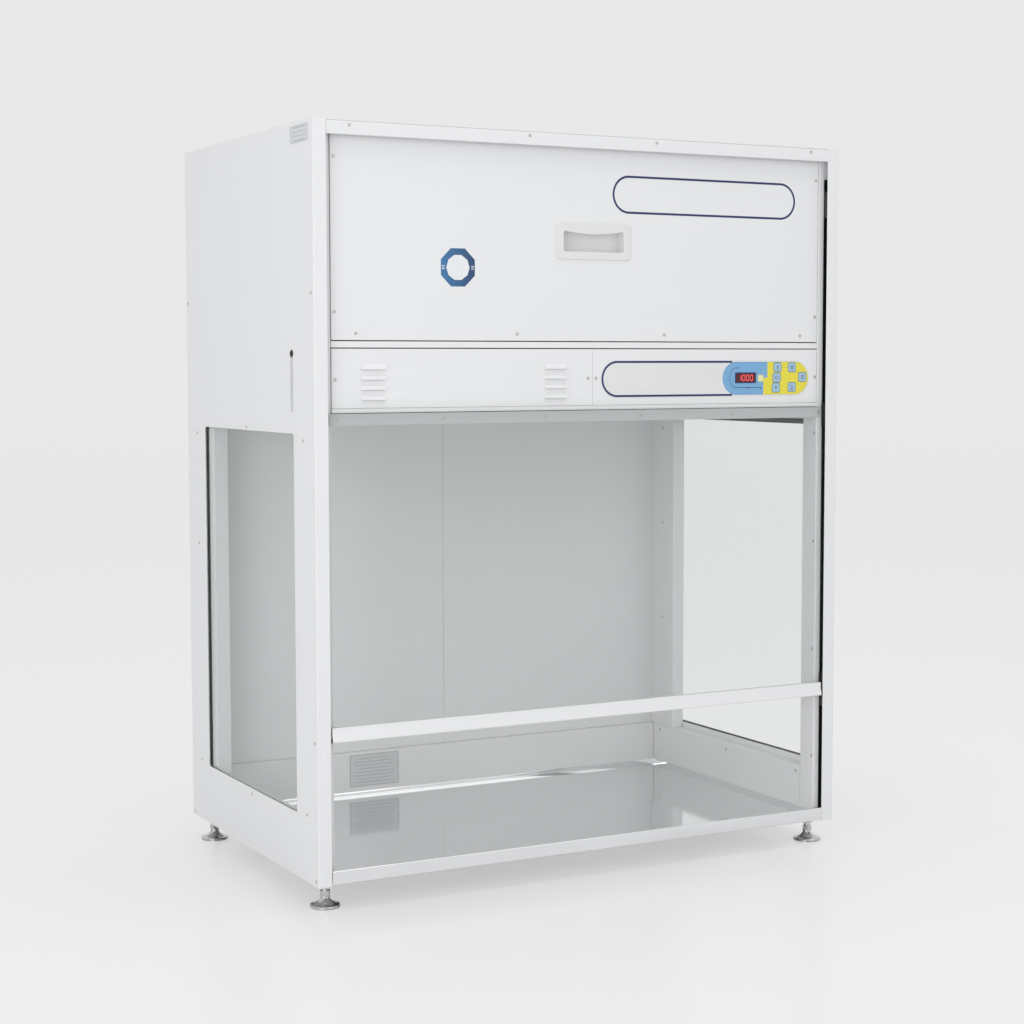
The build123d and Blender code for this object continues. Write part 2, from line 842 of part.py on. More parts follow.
# Control panel, its membrane overlay and the keys
key_hole = key_size + 2 * key_clearance
key_points = [(x, bottom + z) for x, z in key_places.values()]
lamp_key_point = (lamp_key_x, bottom + lamp_key_z)
with BuildPart() as control_panel:
    with BuildSketch(facing_front(recess_y)):
        with Locations((fascia_seam_x + seat_gap, fascia_z)):
            Rectangle(panel_half - fascia_seam_x - seat_gap, fascia_height, align=(Align.MIN, Align.MIN))
    extrude(amount=-pan_depth)
    offset(amount=-sheet, openings=control_panel.faces().sort_by(Axis.Y)[-1])
    with BuildSketch(facing_front(recess_y)):
        with Locations(*key_points):
            RectangleRounded(key_hole, key_hole, key_radius)
        with Locations(lamp_key_point):
            Rectangle(lamp_key_width + 2 * key_clearance, lamp_key_height + 2 * key_clearance)
        with Locations(*control_panel_screws):
            Circle(screw_hole_radius)
    extrude(amount=-sheet, mode=Mode.SUBTRACT)
finish(control_panel, "control_panel")

with BuildPart() as control_overlay:
    with BuildSketch(facing_front(recess_y)):
        with Locations((overlay_x, bottom + overlay_z)):
            SlotOverall(overlay_length, overlay_height)
        with Locations(*key_points):
            RectangleRounded(key_hole, key_hole, key_radius, mode=Mode.SUBTRACT)
        with Locations(lamp_key_point):
            Rectangle(
                lamp_key_width + 2 * key_clearance, lamp_key_height + 2 * key_clearance, mode=Mode.SUBTRACT
            )
    extrude(amount=overlay_thickness)
finish(control_overlay, "control_overlay")

key_front_y = recess_y - overlay_thickness - key_proud
key_depth = overlay_thickness + key_proud + sheet + seat_gap
for key_name, key_place in key_places.items():
    with BuildPart(mode=Mode.PRIVATE) as key:
        with BuildSketch(facing_front(key_front_y)):
            with Locations((key_place[0], bottom + key_place[1])):
                RectangleRounded(key_size, key_size, key_radius)
        extrude(amount=-key_depth)
        fillet(key.faces().sort_by(Axis.Y)[0].edges(), radius=0.5)
        with BuildSketch(facing_front(key_front_y + key_depth)):
            with Locations((key_place[0], bottom + key_place[1])):
                Rectangle(key_size + 2 * key_lug, key_size - 4)
        extrude(amount=-key_lug_depth)
    finish(key, key_name)

with BuildPart() as lamp_key:
    with BuildSketch(facing_front(key_front_y)):
        with Locations(lamp_key_point):
            Rectangle(lamp_key_width, lamp_key_height)
    extrude(amount=-key_depth)
    fillet(lamp_key.faces().sort_by(Axis.Y)[0].edges(), radius=0.5)
    with BuildSketch(facing_front(key_front_y + key_depth)):
        with Locations(lamp_key_point):
            Rectangle(lamp_key_width + 2 * key_lug, lamp_key_height)
    extrude(amount=-key_lug_depth)
finish(lamp_key, "lamp_key")

# Controller board behind the keys, with a switch under each one and four pillars to the panel
switch_front_y = recess_y + sheet + seat_gap + key_lug_depth + key_travel + 0.1
board_y = switch_front_y + switch_height
with BuildPart() as controller_board:
    with BuildSketch(facing_front(board_y)):
        with Locations((board_x, bottom + overlay_z)):
            Rectangle(board_length, overlay_height)
    extrude(amount=-board_thickness)
    with BuildSketch(facing_front(board_y)):
        with Locations((board_x, bottom + overlay_z)):
            with GridLocations(board_length - 10, overlay_height - 10, 2, 2):
                Circle(3)
    extrude(amount=board_y - recess_y - sheet - seat_gap)
    with BuildSketch(facing_front(board_y)):
        with Locations(*key_points, lamp_key_point):
            Rectangle(6, 6)
    extrude(amount=switch_height)
    with BuildSketch(facing_front(board_y + board_thickness)):
        with Locations((board_x - 60, bottom + overlay_z)):
            Rectangle(46, 40)
    extrude(amount=-22)
finish(controller_board, "controller_board")

# Head strip: carries the seal behind the glass at the top of the opening
with BuildPart() as head_strip:
    add(
        folded_sheet(
            along_x(-chamber_half - 6),
            [
                (recess_y - 3, bottom + head_strip_bottom),
                (recess_y - 3, bottom + head_strip_top),
                (recess_y - seat_gap, bottom + head_strip_top),
            ],
            2 * (chamber_half + 6),
            radius=bend_tight,
            side=Side.RIGHT,
        )
    )
    with BuildSketch(along_x(-chamber_half + seat_gap)):
        with Locations((recess_y - 2, bottom + head_strip_top)):
            Rectangle(60, sheet, align=(Align.MIN, Align.MAX))
    extrude(amount=2 * (chamber_half - seat_gap))
    with BuildSketch(facing_front(recess_y - 3)):
        with Locations(*head_strip_screws):
            Circle(screw_hole_radius)
    extrude(amount=-sheet, mode=Mode.SUBTRACT)
finish(head_strip, "head_strip")

# Chamber ceiling: its front lip shows as the thin line under the front panels
ceiling_half = chamber_half - seat_gap
with BuildPart() as chamber_ceiling:
    add(
        folded_sheet(
            along_x(-ceiling_half),
            [
                (recess_y - 2, bottom + fascia_bottom - 0.5),
                (recess_y - 2, ceiling_z),
                (back_wall_y + 20, ceiling_z),
            ],
            2 * ceiling_half,
            radius=bend_tight,
        )
    )
    with BuildSketch(Plane.XY.offset(ceiling_z - sheet)):
        with Locations((0, front + filter_centre_from_front)):
            Rectangle(prefilter_width - 20, prefilter_depth - 20)
    extrude(amount=4 * sheet, mode=Mode.SUBTRACT)
finish(chamber_ceiling, "chamber_ceiling")

# Lamp under the ceiling, behind the head strip
with BuildPart() as lamp:
    with BuildSketch(along_x(-lamp_length / 2)):
        with BuildLine():
            lamp_y = front + lamp_from_front
            lamp_top = ceiling_z - seat_gap
            Polyline(
                (lamp_y, lamp_top),
                (lamp_y, lamp_top - lamp_height),
                (lamp_y + lamp_width * 0.3, lamp_top - lamp_height - 5),
                (lamp_y + lamp_width * 0.7, lamp_top - lamp_height - 5),
                (lamp_y + lamp_width, lamp_top - lamp_height),
                (lamp_y + lamp_width, lamp_top),
                close=True,
            )
        make_face()
    extrude(amount=lamp_length)
finish(lamp, "lamp")

# Prefilter, carbon filter and high-efficiency filter: frames around their media
filter_y = front + filter_centre_from_front
prefilter_z = ceiling_z + sheet + filter_step
with BuildPart() as prefilter:
    with BuildSketch(Plane.XY.offset(prefilter_z)):
        with Locations((0, filter_y)):
            Rectangle(prefilter_width, prefilter_depth)
            Rectangle(prefilter_width - filter_wall, prefilter_depth - filter_wall, mode=Mode.SUBTRACT)
    extrude(amount=prefilter_height)
    with BuildSketch(Plane.XY.offset(prefilter_z + 4)):
        with Locations((0, filter_y)):
            Rectangle(prefilter_width - filter_wall, prefilter_depth - filter_wall)
    extrude(amount=prefilter_height - 8)
finish(prefilter, "prefilter")

carbon_z = bottom + shelf_top + filter_step
with BuildPart() as carbon_filter:
    with BuildSketch(Plane.XY.offset(carbon_z)):
        with Locations((0, filter_y)):
            Rectangle(filter_width, filter_depth)
            Rectangle(filter_width - 2 * filter_wall, filter_depth - 2 * filter_wall, mode=Mode.SUBTRACT)
    extrude(amount=carbon_height)
    with BuildSketch(Plane.XY.offset(carbon_z + 8)):
        with Locations((0, filter_y)):
            Rectangle(filter_width - 2 * filter_wall, filter_depth - 2 * filter_wall)
    extrude(amount=carbon_height - 16)
finish(carbon_filter, "carbon_filter")

hepa_z = carbon_z + carbon_height + filter_step
pleat_half = filter_width / 2 - filter_wall
pleat_pitch = 2 * pleat_half / pleat_count
pleat_low = hepa_z + 6
pleat_high = hepa_z + hepa_height - 6 - pleat_thickness
pleats = [
    (-pleat_half + i * pleat_pitch / 2, pleat_high if i % 2 else pleat_low) for i in range(2 * pleat_count + 1)
]
with BuildPart() as hepa_filter:
    with BuildSketch(Plane.XY.offset(hepa_z)):
        with Locations((0, filter_y)):
            Rectangle(filter_width, filter_depth)
            Rectangle(filter_width - 2 * filter_wall, filter_depth - 2 * filter_wall, mode=Mode.SUBTRACT)
    extrude(amount=hepa_height)
    with BuildSketch(facing_front(filter_y - filter_depth / 2 + filter_wall)):
        with BuildLine():
            Polyline(*pleats, *[(x, z + pleat_thickness) for x, z in reversed(pleats)], close=True)
        make_face()
    extrude(amount=-(filter_depth - 2 * filter_wall))
finish(hepa_filter, "hepa_filter")

# Fan deck: an inverted pan on the filter with a flared inlet
deck_z = hepa_z + hepa_height + filter_step
deck_top = deck_z + deck_height
with BuildPart() as fan_deck:
    with BuildSketch(Plane.XY.offset(deck_z)):
        with Locations((0, filter_y)):
            RectangleRounded(filter_width, filter_depth, 3)
    extrude(amount=deck_height)
    offset(amount=-sheet, openings=fan_deck.faces().sort_by(Axis.Z)[0])
    with BuildSketch(Plane.XY.offset(deck_top)):
        with Locations((0, filter_y)):
            Circle(inlet_radius + inlet_flare)
    extrude(amount=-2 * sheet, mode=Mode.SUBTRACT)
    with BuildSketch(Plane.XZ.offset(-filter_y)):
        with BuildLine():
            FilletPolyline(
                (inlet_radius + inlet_flare + 4, deck_top),
                (inlet_radius, deck_top),
                (inlet_radius, deck_top + inlet_flare),
                radius=inlet_flare - 3,
            )
            offset(amount=sheet, side=Side.LEFT)
        make_face()
    revolve(axis=Axis(origin=(0, filter_y, 0), direction=(0, 0, 1)))
finish(fan_deck, "fan_deck")

# Fan impeller: a flared shroud, backward-curved blades, a back plate and the rotor cup
fan_axis = Axis(origin=(0, filter_y, 0), direction=(0, 0, 1))
impeller_z = deck_top + inlet_flare + 2
impeller_top = impeller_z + impeller_height
shroud_rise = 15
with BuildPart() as fan_impeller:
    with BuildSketch(Plane.XZ.offset(-filter_y)):
        with BuildLine():
            FilletPolyline(
                (impeller_eye_radius, impeller_z),
                (impeller_eye_radius, impeller_z + shroud_rise),
                (impeller_radius, impeller_z + shroud_rise),
                radius=11,
            )
            offset(amount=blade_thickness, side=Side.LEFT)
        make_face()
    revolve(axis=fan_axis)
    with BuildSketch(Plane.XZ.offset(-filter_y)):
        with BuildLine():
            Polyline(
                (0, impeller_top),
                (impeller_radius, impeller_top),
                (impeller_radius, impeller_top - blade_thickness),
                (hub_radius, impeller_top - blade_thickness),
                (hub_radius, impeller_top - hub_height + 8),
                (hub_radius - 8, impeller_top - hub_height),
                (0, impeller_top - hub_height),
                close=True,
            )
        make_face()
    revolve(axis=fan_axis)
    blade_inner = Vector(blade_root_radius, 0)
    blade_outer = Vector(blade_tip_radius, 0).rotate(Axis.Z, -blade_sweep)
    blade_middle = (blade_inner + blade_outer) * 0.5 * blade_bow
    blade_z = impeller_z + shroud_rise + blade_thickness / 2
    with BuildSketch(Plane.XY.offset(blade_z)):
        with Locations((0, filter_y)):
            with PolarLocations(0, blade_count):
                add(blade_section(blade_inner, blade_middle, blade_outer))
    extrude(amount=impeller_top - blade_thickness / 2 - blade_z)
    with BuildSketch(Plane.XY.offset(impeller_top)):
        with Locations((0, filter_y)):
            Circle(shaft_radius + shaft_clearance)
    extrude(amount=-shaft_depth, mode=Mode.SUBTRACT)
finish(fan_impeller, "fan_impeller")

# Fan motor: the stator and its shaft on a hat-shaped strap over the impeller
bracket_top = impeller_top + stator_height + 3
with BuildPart() as fan_motor:
    add(
        folded_sheet(
            facing_front(filter_y - bracket_width / 2),
            [
                (-bracket_half - 30, deck_top + seat_gap),
                (-bracket_half, deck_top + seat_gap),
                (-bracket_half, bracket_top),
                (bracket_half, bracket_top),
                (bracket_half, deck_top + seat_gap),
                (bracket_half + 30, deck_top + seat_gap),
            ],
            -bracket_width,
        )
    )
    with BuildSketch(Plane.XY.offset(bracket_top + 0.5)):
        with Locations((0, filter_y)):
            Circle(hub_radius - 4)
    extrude(amount=-stator_height - 0.5)
    with BuildSketch(Plane.XY.offset(bracket_top)):
        with Locations((0, filter_y)):
            Circle(shaft_radius)
    extrude(amount=-(bracket_top - impeller_top + shaft_depth - 2))
finish(fan_motor, "fan_motor")

# Sash glass
glass_bottom = bottom + bar_bottom + slot_floor
glass_centre_y = glass_y + glass_thickness / 2
with BuildPart() as sash_glass:
    with BuildSketch(Plane.XY.offset(glass_bottom + seat_gap)):
        with Locations((0, glass_y)):
            Rectangle(2 * glass_half, glass_thickness, align=(Align.CENTER, Align.MIN))
    extrude(amount=bottom + glass_top - glass_bottom - seat_gap)
    chamfer(sash_glass.edges().filter_by(Axis.X), length=0.6)
finish(sash_glass, "sash_glass")

# Sash handle bar: an extrusion with a finger lip and a slot for the glass
bar_z = bottom + bar_bottom
bar_top = bar_z + bar_height
bar_section = [
    (glass_y + glass_thickness + 1.8, bar_z),
    (front + bar_lip + 1.2, bar_z),
    (front + bar_lip, bar_z + 1.5),
    (front + bar_lip, bar_z + 5),
    (front + 3.6, bar_z + 14),
    (front + 3.6, bar_top - 1),
    (front + 4.6, bar_top),
    (glass_y + glass_thickness + 1.8, bar_top),
]
with BuildPart() as sash_handle_bar:
    with BuildSketch(along_x(-bar_half)):
        with BuildLine():
            Polyline(*bar_section, close=True)
        make_face()
        with Locations((glass_centre_y, glass_bottom)):
            Rectangle(
                glass_thickness + 2 * glass_fit, bar_height, align=(Align.CENTER, Align.MIN), mode=Mode.SUBTRACT
            )
        with Locations((glass_centre_y, bar_z + 6)):
            Rectangle(glass_thickness, 5, mode=Mode.SUBTRACT)
    extrude(amount=2 * bar_half)
finish(sash_handle_bar, "sash_handle_bar")

# Sash guides: nylon end caps with tongues in the channels, and blocks at the glass's upper corners
tongue_front_y = channel_front_y + channel_wall + guide_clearance
tongue_depth = channel_rear_y - channel_wall - guide_clearance - tongue_front_y
upper_guide_z = bottom + glass_top + 4 - guide_height
cable_y = glass_centre_y
with BuildPart() as sash_guides:
    with BuildSketch(along_x(-cap_half)):
        with BuildLine():
            Polyline(*bar_section, close=True)
        make_face()
        with Locations((glass_centre_y, glass_bottom)):
            Rectangle(
                glass_thickness + 2 * glass_fit, bar_height, align=(Align.CENTER, Align.MIN), mode=Mode.SUBTRACT
            )
    extrude(amount=cap_half - bar_half - seat_gap)
    with BuildSketch(along_x(-guide_half)):
        with Locations((tongue_front_y, bar_z)):
            Rectangle(tongue_depth, guide_height, align=Align.MIN)
        with Locations((tongue_front_y, upper_guide_z)):
            Rectangle(tongue_depth, guide_height, align=Align.MIN)
    extrude(amount=guide_half - cap_half)
    with BuildSketch(along_x(-glass_half - seat_gap)):
        with Locations((glass_centre_y, glass_bottom)):
            Rectangle(
                glass_thickness + 2 * glass_fit,
                bottom + glass_top + seat_gap - glass_bottom,
                align=(Align.CENTER, Align.MIN),
            )
    extrude(amount=glass_half, mode=Mode.SUBTRACT)
    mirror(about=Plane.YZ)
finish(sash_guides, "sash_guides")

# Sash stops: the lower pair carries the closed sash, the upper pair ends its travel beside the cable
stop_outer = sheave_x - cable_radius - 3
stop_inner = channel_open + 0.5
with BuildPart() as sash_stops:
    with BuildSketch(Plane.XY.offset(bar_z - seat_gap)):
        with Locations((-stop_outer, channel_front_y + channel_wall)):
            Rectangle(stop_outer - stop_inner, channel_rear_y - channel_front_y - 2 * channel_wall, align=Align.MIN)
    extrude(amount=-stop_height)
    with BuildSketch(Plane.XY.offset(upper_guide_z + guide_height + sash_travel + seat_gap)):
        with Locations((-stop_outer, channel_front_y + channel_wall)):
            Rectangle(stop_outer - stop_inner, channel_rear_y - channel_front_y - 2 * channel_wall, align=Align.MIN)
    extrude(amount=top_stop_height)
    mirror(about=Plane.YZ)
finish(sash_stops, "sash_stops")

# Sheaves on the side panels' studs
groove_radius = sheave_pitch_radius - cable_radius
groove_half = cable_radius + 0.15
with BuildPart() as sheave_left:
    with BuildSketch(Plane.XY.offset(sheave_z)):
        with BuildLine():
            Polyline(
                (-sheave_x - sheave_thickness / 2, sheave_y - pin_radius - pin_clearance),
                (-sheave_x - sheave_thickness / 2, sheave_y - sheave_radius),
                (-sheave_x - cable_radius - 1.3, sheave_y - sheave_radius),
                (-sheave_x - groove_half, sheave_y - groove_radius - 0.5),
            )
            ThreePointArc(
                (-sheave_x - groove_half, sheave_y - groove_radius - 0.5),
                (-sheave_x, sheave_y - groove_radius + 0.2),
                (-sheave_x + groove_half, sheave_y - groove_radius - 0.5),
            )
            Polyline(
                (-sheave_x + groove_half, sheave_y - groove_radius - 0.5),
                (-sheave_x + cable_radius + 1.3, sheave_y - sheave_radius),
                (-sheave_x + sheave_thickness / 2, sheave_y - sheave_radius),
                (-sheave_x + sheave_thickness / 2, sheave_y - pin_radius - pin_clearance),
                (-sheave_x - sheave_thickness / 2, sheave_y - pin_radius - pin_clearance),
            )
        make_face()
    revolve(axis=Axis(origin=(0, sheave_y, sheave_z), direction=(1, 0, 0)))
    with BuildSketch(along_x(-sheave_x - sheave_thickness / 2)):
        with Locations((sheave_y, sheave_z)):
            with PolarLocations((pin_radius + groove_radius) / 2, 5):
                Circle(2.4)
    extrude(amount=sheave_thickness, mode=Mode.SUBTRACT)
finish(sheave_left, "sheave_left")

with BuildPart() as sheave_right:
    mirror(sheave_left.part, about=Plane.YZ)
finish(sheave_right, "sheave_right")

# Counterweights: steel bars in the front posts
weight_top = bottom + weight_top_height
with BuildPart() as counterweight_left:
    with BuildSketch(Plane.XY.offset(weight_top)):
        with Locations((-weight_x, front + weight_from_front)):
            Rectangle(weight_width, weight_depth)
    extrude(amount=-weight_length)
    chamfer(counterweight_left.edges().filter_by(Axis.Z), length=2)
finish(counterweight_left, "counterweight_left")

with BuildPart() as counterweight_right:
    mirror(counterweight_left.part, about=Plane.YZ)
finish(counterweight_right, "counterweight_right")

# Sash cables: the runs from the upper guides, over the sheaves and down to the counterweights
rear_cable_y = sheave_y + sheave_pitch_radius
upper_guide_top = upper_guide_z + guide_height
cable_end_gap = 0.1
with BuildPart() as sash_cables_front:
    with BuildSketch(Plane.XY.offset(upper_guide_top + cable_end_gap)):
        with Locations((-sheave_x, cable_y), (sheave_x, cable_y)):
            Circle(cable_radius)
    extrude(amount=sheave_z - upper_guide_top - 2 * cable_end_gap)
finish(sash_cables_front, "sash_cables_front")

with BuildPart() as sash_cables_rear:
    with BuildSketch(Plane.XY.offset(weight_top + cable_end_gap)):
        with Locations((-sheave_x, rear_cable_y), (sheave_x, rear_cable_y)):
            Circle(cable_radius)
    extrude(amount=sheave_z - weight_top - 2 * cable_end_gap)
finish(sash_cables_rear, "sash_cables_rear")

with BuildPart() as sash_cable_wraps:
    with BuildSketch(Plane.XY.offset(sheave_z)):
        with Locations((-sheave_x, rear_cable_y)):
            Circle(cable_radius)
    revolve(axis=Axis(origin=(0, sheave_y, sheave_z), direction=(1, 0, 0)), revolution_arc=180)
    mirror(about=Plane.YZ)
finish(sash_cable_wraps, "sash_cable_wraps")

# Cable outlet grommet in the left side panel
grommet_place = (front + grommet_from_front, bottom + grommet_height)
with BuildPart() as cable_grommet:
    with BuildSketch(along_x(-outer - screw_head_height)):
        with Locations(grommet_place):
            Circle(grommet_radius)
    extrude(amount=screw_head_height)
    with BuildSketch(along_x(-outer)):
        with Locations(grommet_place):
            Circle(grommet_hole_radius - 0.1)
    extrude(amount=sheet + seat_gap)
    with BuildSketch(along_x(-web_inner + seat_gap)):
        with Locations(grommet_place):
            Circle(grommet_radius)
    extrude(amount=screw_head_height)
    with BuildSketch(along_x(-outer - screw_head_height)):
        with Locations(grommet_place):
            Circle(2.5)
    extrude(amount=4, mode=Mode.SUBTRACT)
finish(cable_grommet, "cable_grommet")

# Mains inlet in the rear panel: a moulded shell with three blades
inlet_y = rear_panel_y - seat_gap
inlet_place = (inlet_x, bottom + inlet_height)
with BuildPart() as power_inlet:
    with BuildSketch(facing_front(inlet_y)):
        with Locations(inlet_place):
            RectangleRounded(inlet_width + 6, inlet_opening_height + 6, 3)
    extrude(amount=-1.4)
    with BuildSketch(facing_front(inlet_y)):
        with Locations(inlet_place):
            Rectangle(inlet_width - 0.4, inlet_opening_height - 0.4)
    extrude(amount=inlet_depth)
    with BuildSketch(facing_front(inlet_y + 1.4)):
        with Locations(inlet_place):
            Rectangle(inlet_width - 4, inlet_opening_height - 4)
    extrude(amount=inlet_depth - 2, mode=Mode.SUBTRACT)
    with BuildSketch(facing_front(inlet_y - inlet_depth)):
        with Locations((inlet_x, inlet_place[1] + 3), (inlet_x - 7, inlet_place[1] - 1), (inlet_x + 7, inlet_place[1] - 1)):
            Rectangle(2, 4)
    extrude(amount=-(inlet_depth - 4))
finish(power_inlet, "power_inlet")


def screw_group(plane, places, mirrored=False):
    """Pan-head screws standing on a plane at the given places, their shanks in the sheet below it."""
    with BuildPart() as screws:
        with BuildSketch(plane):
            with Locations(*places):
                Circle(screw_head_radius)
        extrude(amount=screw_head_height, taper=30)
        with BuildSketch(plane):
            with Locations(*places):
                Circle(screw_radius)
        extrude(amount=-sheet)
        if mirrored:
            mirror(about=Plane.YZ)
    return screws.part


# Cabinet screws
with BuildPart() as cabinet_screws:
    add(screw_group(Plane(origin=(-outer, 0, 0), x_dir=(0, -1, 0), z_dir=(-1, 0, 0)), [(-y, z) for y, z in side_screws], True))
    add(screw_group(Plane(origin=(-chamber_half, 0, 0), x_dir=(0, 1, 0), z_dir=(1, 0, 0)), post_screws + corner_post_screws + liner_screws, True))
    add(screw_group(Plane(origin=(0, back, 0), x_dir=(-1, 0, 0), z_dir=(0, 1, 0)), [(outer - rear_flange / 2, z) for z in rear_screw_heights], True))
    add(screw_group(facing_front(front), rail_screws))
    add(screw_group(facing_front(recess_y - 3), head_strip_screws))
    add(screw_group(facing_front(recess_y), filter_panel_screws + louvre_panel_screws + control_panel_screws))
    add(screw_group(Plane.XY.offset(cover_z), top_screws))
finish(cabinet_screws, "cabinet_screws")
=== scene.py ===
import json
import math

import bmesh
import bpy
from mathutils import Matrix, Vector

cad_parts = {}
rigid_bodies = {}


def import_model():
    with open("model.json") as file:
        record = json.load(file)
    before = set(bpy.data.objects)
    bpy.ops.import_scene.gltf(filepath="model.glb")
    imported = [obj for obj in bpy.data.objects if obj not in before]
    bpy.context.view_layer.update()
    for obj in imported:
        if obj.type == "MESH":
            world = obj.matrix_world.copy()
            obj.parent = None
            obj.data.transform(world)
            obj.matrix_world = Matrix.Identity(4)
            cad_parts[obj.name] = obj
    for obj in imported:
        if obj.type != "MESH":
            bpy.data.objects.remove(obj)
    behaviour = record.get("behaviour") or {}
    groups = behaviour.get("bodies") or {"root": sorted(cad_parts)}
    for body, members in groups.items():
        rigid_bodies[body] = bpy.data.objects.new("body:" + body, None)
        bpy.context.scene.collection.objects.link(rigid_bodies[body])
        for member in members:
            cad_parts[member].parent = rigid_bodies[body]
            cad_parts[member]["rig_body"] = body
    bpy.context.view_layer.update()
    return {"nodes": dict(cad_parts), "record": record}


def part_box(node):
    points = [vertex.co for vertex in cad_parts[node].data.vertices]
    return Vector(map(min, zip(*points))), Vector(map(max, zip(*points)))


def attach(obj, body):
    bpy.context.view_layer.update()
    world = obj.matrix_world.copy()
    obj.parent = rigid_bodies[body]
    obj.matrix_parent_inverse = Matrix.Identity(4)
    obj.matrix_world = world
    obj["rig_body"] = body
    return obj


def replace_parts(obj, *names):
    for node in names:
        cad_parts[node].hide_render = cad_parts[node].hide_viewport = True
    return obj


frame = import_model()

# The view of the photograph: from the left of the cabinet and a little above its middle
VIEW_POSITION = Vector((-2.0076, -3.7799, 1.0384))
VIEW_YAW = -0.48941
VIEW_PITCH = 0.07490
VIEW_ROLL = -0.00166
VIEW_LENS = 69.76
SENSOR = 36.0

# Levels of the studio
WORLD_LEVEL = 0.76
BACKDROP_LEVEL = 0.82
STUDIO_TINT = (0.985, 0.99, 1.0, 1.0)
FLOOR_HALF = 30.0
FLOOR_COLOUR = (0.84, 0.84, 0.85)
FLOOR_GLOW = (0.87, 0.872, 0.875)
FLOOR_GLOW_SHARE = 0.55

# Edges and thin things, in metres
EDGE_ROUND = 0.0004
INK = 0.00012
WELD = 2e-6
SMOOTH_ANGLE = math.radians(32)
FLAT_ANGLE = math.radians(0.6)

SLOTS = {part["node"]: part["material_slot"] for part in frame["record"]["subparts"]}


class Socket:
    """An output socket of a finish. Arithmetic on it adds Math nodes."""

    def __init__(self, finish, link):
        self.finish = finish
        self.link = link

    def math(self, operation, *values):
        return self.finish.node("ShaderNodeMath", {"operation": operation}, dict(enumerate(values)))

    def __add__(self, other):
        return self.math("ADD", self, other)

    __radd__ = __add__

    def __mul__(self, other):
        return self.math("MULTIPLY", self, other)

    __rmul__ = __mul__

    def __gt__(self, other):
        return self.math("GREATER_THAN", self, other)

    def __lt__(self, other):
        return self.math("LESS_THAN", self, other)

    def __abs__(self):
        return self.math("ABSOLUTE", self)

    def __pow__(self, other):
        return self.math("POWER", self, other)

    def __rpow__(self, other):
        return self.math("POWER", other, self)


class Finish:
    """A material under construction: one method adds any node, and shade() sets the main shader."""

    def __init__(self, name):
        self.material = bpy.data.materials.new(name)
        self.material.use_nodes = True
        self.tree = self.material.node_tree
        self.shader = self.tree.nodes["Principled BSDF"]
        self.output = self.tree.nodes["Material Output"]
        self.place = self.node("ShaderNodeTexCoord", output="Object")

    def node(self, kind, settings=None, inputs=None, output=0):
        made = self.tree.nodes.new(kind)
        for setting, value in (settings or {}).items():
            setattr(made, setting, value)
        for key, value in (inputs or {}).items():
            self.feed(made.inputs[key], value)
        return Socket(self, made.outputs[output])

    def feed(self, entry, value):
        if isinstance(value, Socket):
            self.tree.links.new(value.link, entry)
        elif isinstance(value, tuple) and len(value) == 3 and entry.type == "RGBA":
            entry.default_value = (*value, 1.0)
        else:
            entry.default_value = value

    def shade(self, **values):
        for key, value in values.items():
            self.feed(self.shader.inputs[key.replace("_", " ").title().replace("Ior", "IOR")], value)

    def noise(self, scale, detail=2.0, roughness=0.5, stretch=None):
        place = self.place
        if stretch:
            place = self.node("ShaderNodeMapping", inputs={"Vector": place, "Scale": stretch})
        sockets = {"Vector": place, "Scale": scale, "Detail": detail, "Roughness": roughness}
        return self.node("ShaderNodeTexNoise", inputs=sockets)

    def blend(self, factor, low, high):
        sockets = {"Factor": factor, 6: low, 7: high}
        return self.node("ShaderNodeMix", {"data_type": "RGBA"}, sockets, output=2)

    def bump(self, height, strength, distance):
        sockets = {"Height": height, "Strength": strength, "Distance": distance}
        return self.node("ShaderNodeBump", inputs=sockets)

    def axes(self, output):
        """The X, Y and Z of one of Texture Coordinate's outputs."""
        vector = {0: self.node("ShaderNodeTexCoord", output=output)}
        return [self.node("ShaderNodeSeparateXYZ", inputs=vector, output=axis) for axis in (0, 1, 2)]


def darker(colour, share):
    """A colour at a share of its level."""
    return tuple(channel * share for channel in colour)


def powder_coat(name, colour, roughness=0.38):
    """Sprayed powder paint: a fine orange peel, a faint cloudiness and a few smoother places."""
    finish = Finish(name)
    cloud = finish.noise(2.3, 3.0)
    peel = finish.noise(620.0, 2.0)
    wipe = finish.noise(7.0, 4.0, 0.6, stretch=(1.0, 1.0, 0.35))
    finish.shade(
        base_color=finish.blend(cloud, darker(colour, 0.985), colour),
        roughness=wipe * 0.10 + (roughness - 0.05),
        normal=finish.bump(peel, 0.16, 0.00006),
        specular_ior_level=0.45,
    )
    return finish.material


def mirror_steel(name):
    """Polished stainless sheet: nearly a mirror, with a long fine polish and wiped smears."""
    finish = Finish(name)
    polish = finish.noise(1.0, 3.0, 0.6, stretch=(6.0, 900.0, 900.0))
    smear = finish.noise(9.0, 4.0, 0.62)
    wave = finish.noise(3.0, 1.0)
    finish.shade(
        base_color=finish.blend(smear, (0.80, 0.805, 0.81), (0.87, 0.875, 0.88)),
        metallic=1.0,
        roughness=smear * 0.05 + polish * 0.05 + 0.02,
        normal=finish.bump(wave + polish * 0.002, 0.08, 0.002),
    )
    return finish.material


def bare_metal(name, colour, roughness, grain=(500.0, 500.0, 30.0)):
    """Plated or galvanised steel and bare aluminium with a drawn grain."""
    finish = Finish(name)
    streak = finish.noise(1.0, 3.0, 0.6, stretch=grain)
    patch = finish.noise(40.0, 3.0)
    finish.shade(
        base_color=finish.blend(patch, darker(colour, 0.9), colour),
        metallic=1.0,
        roughness=streak * 0.16 + (roughness - 0.08),
        normal=finish.bump(streak, 0.05, 0.00005),
    )
    return finish.material


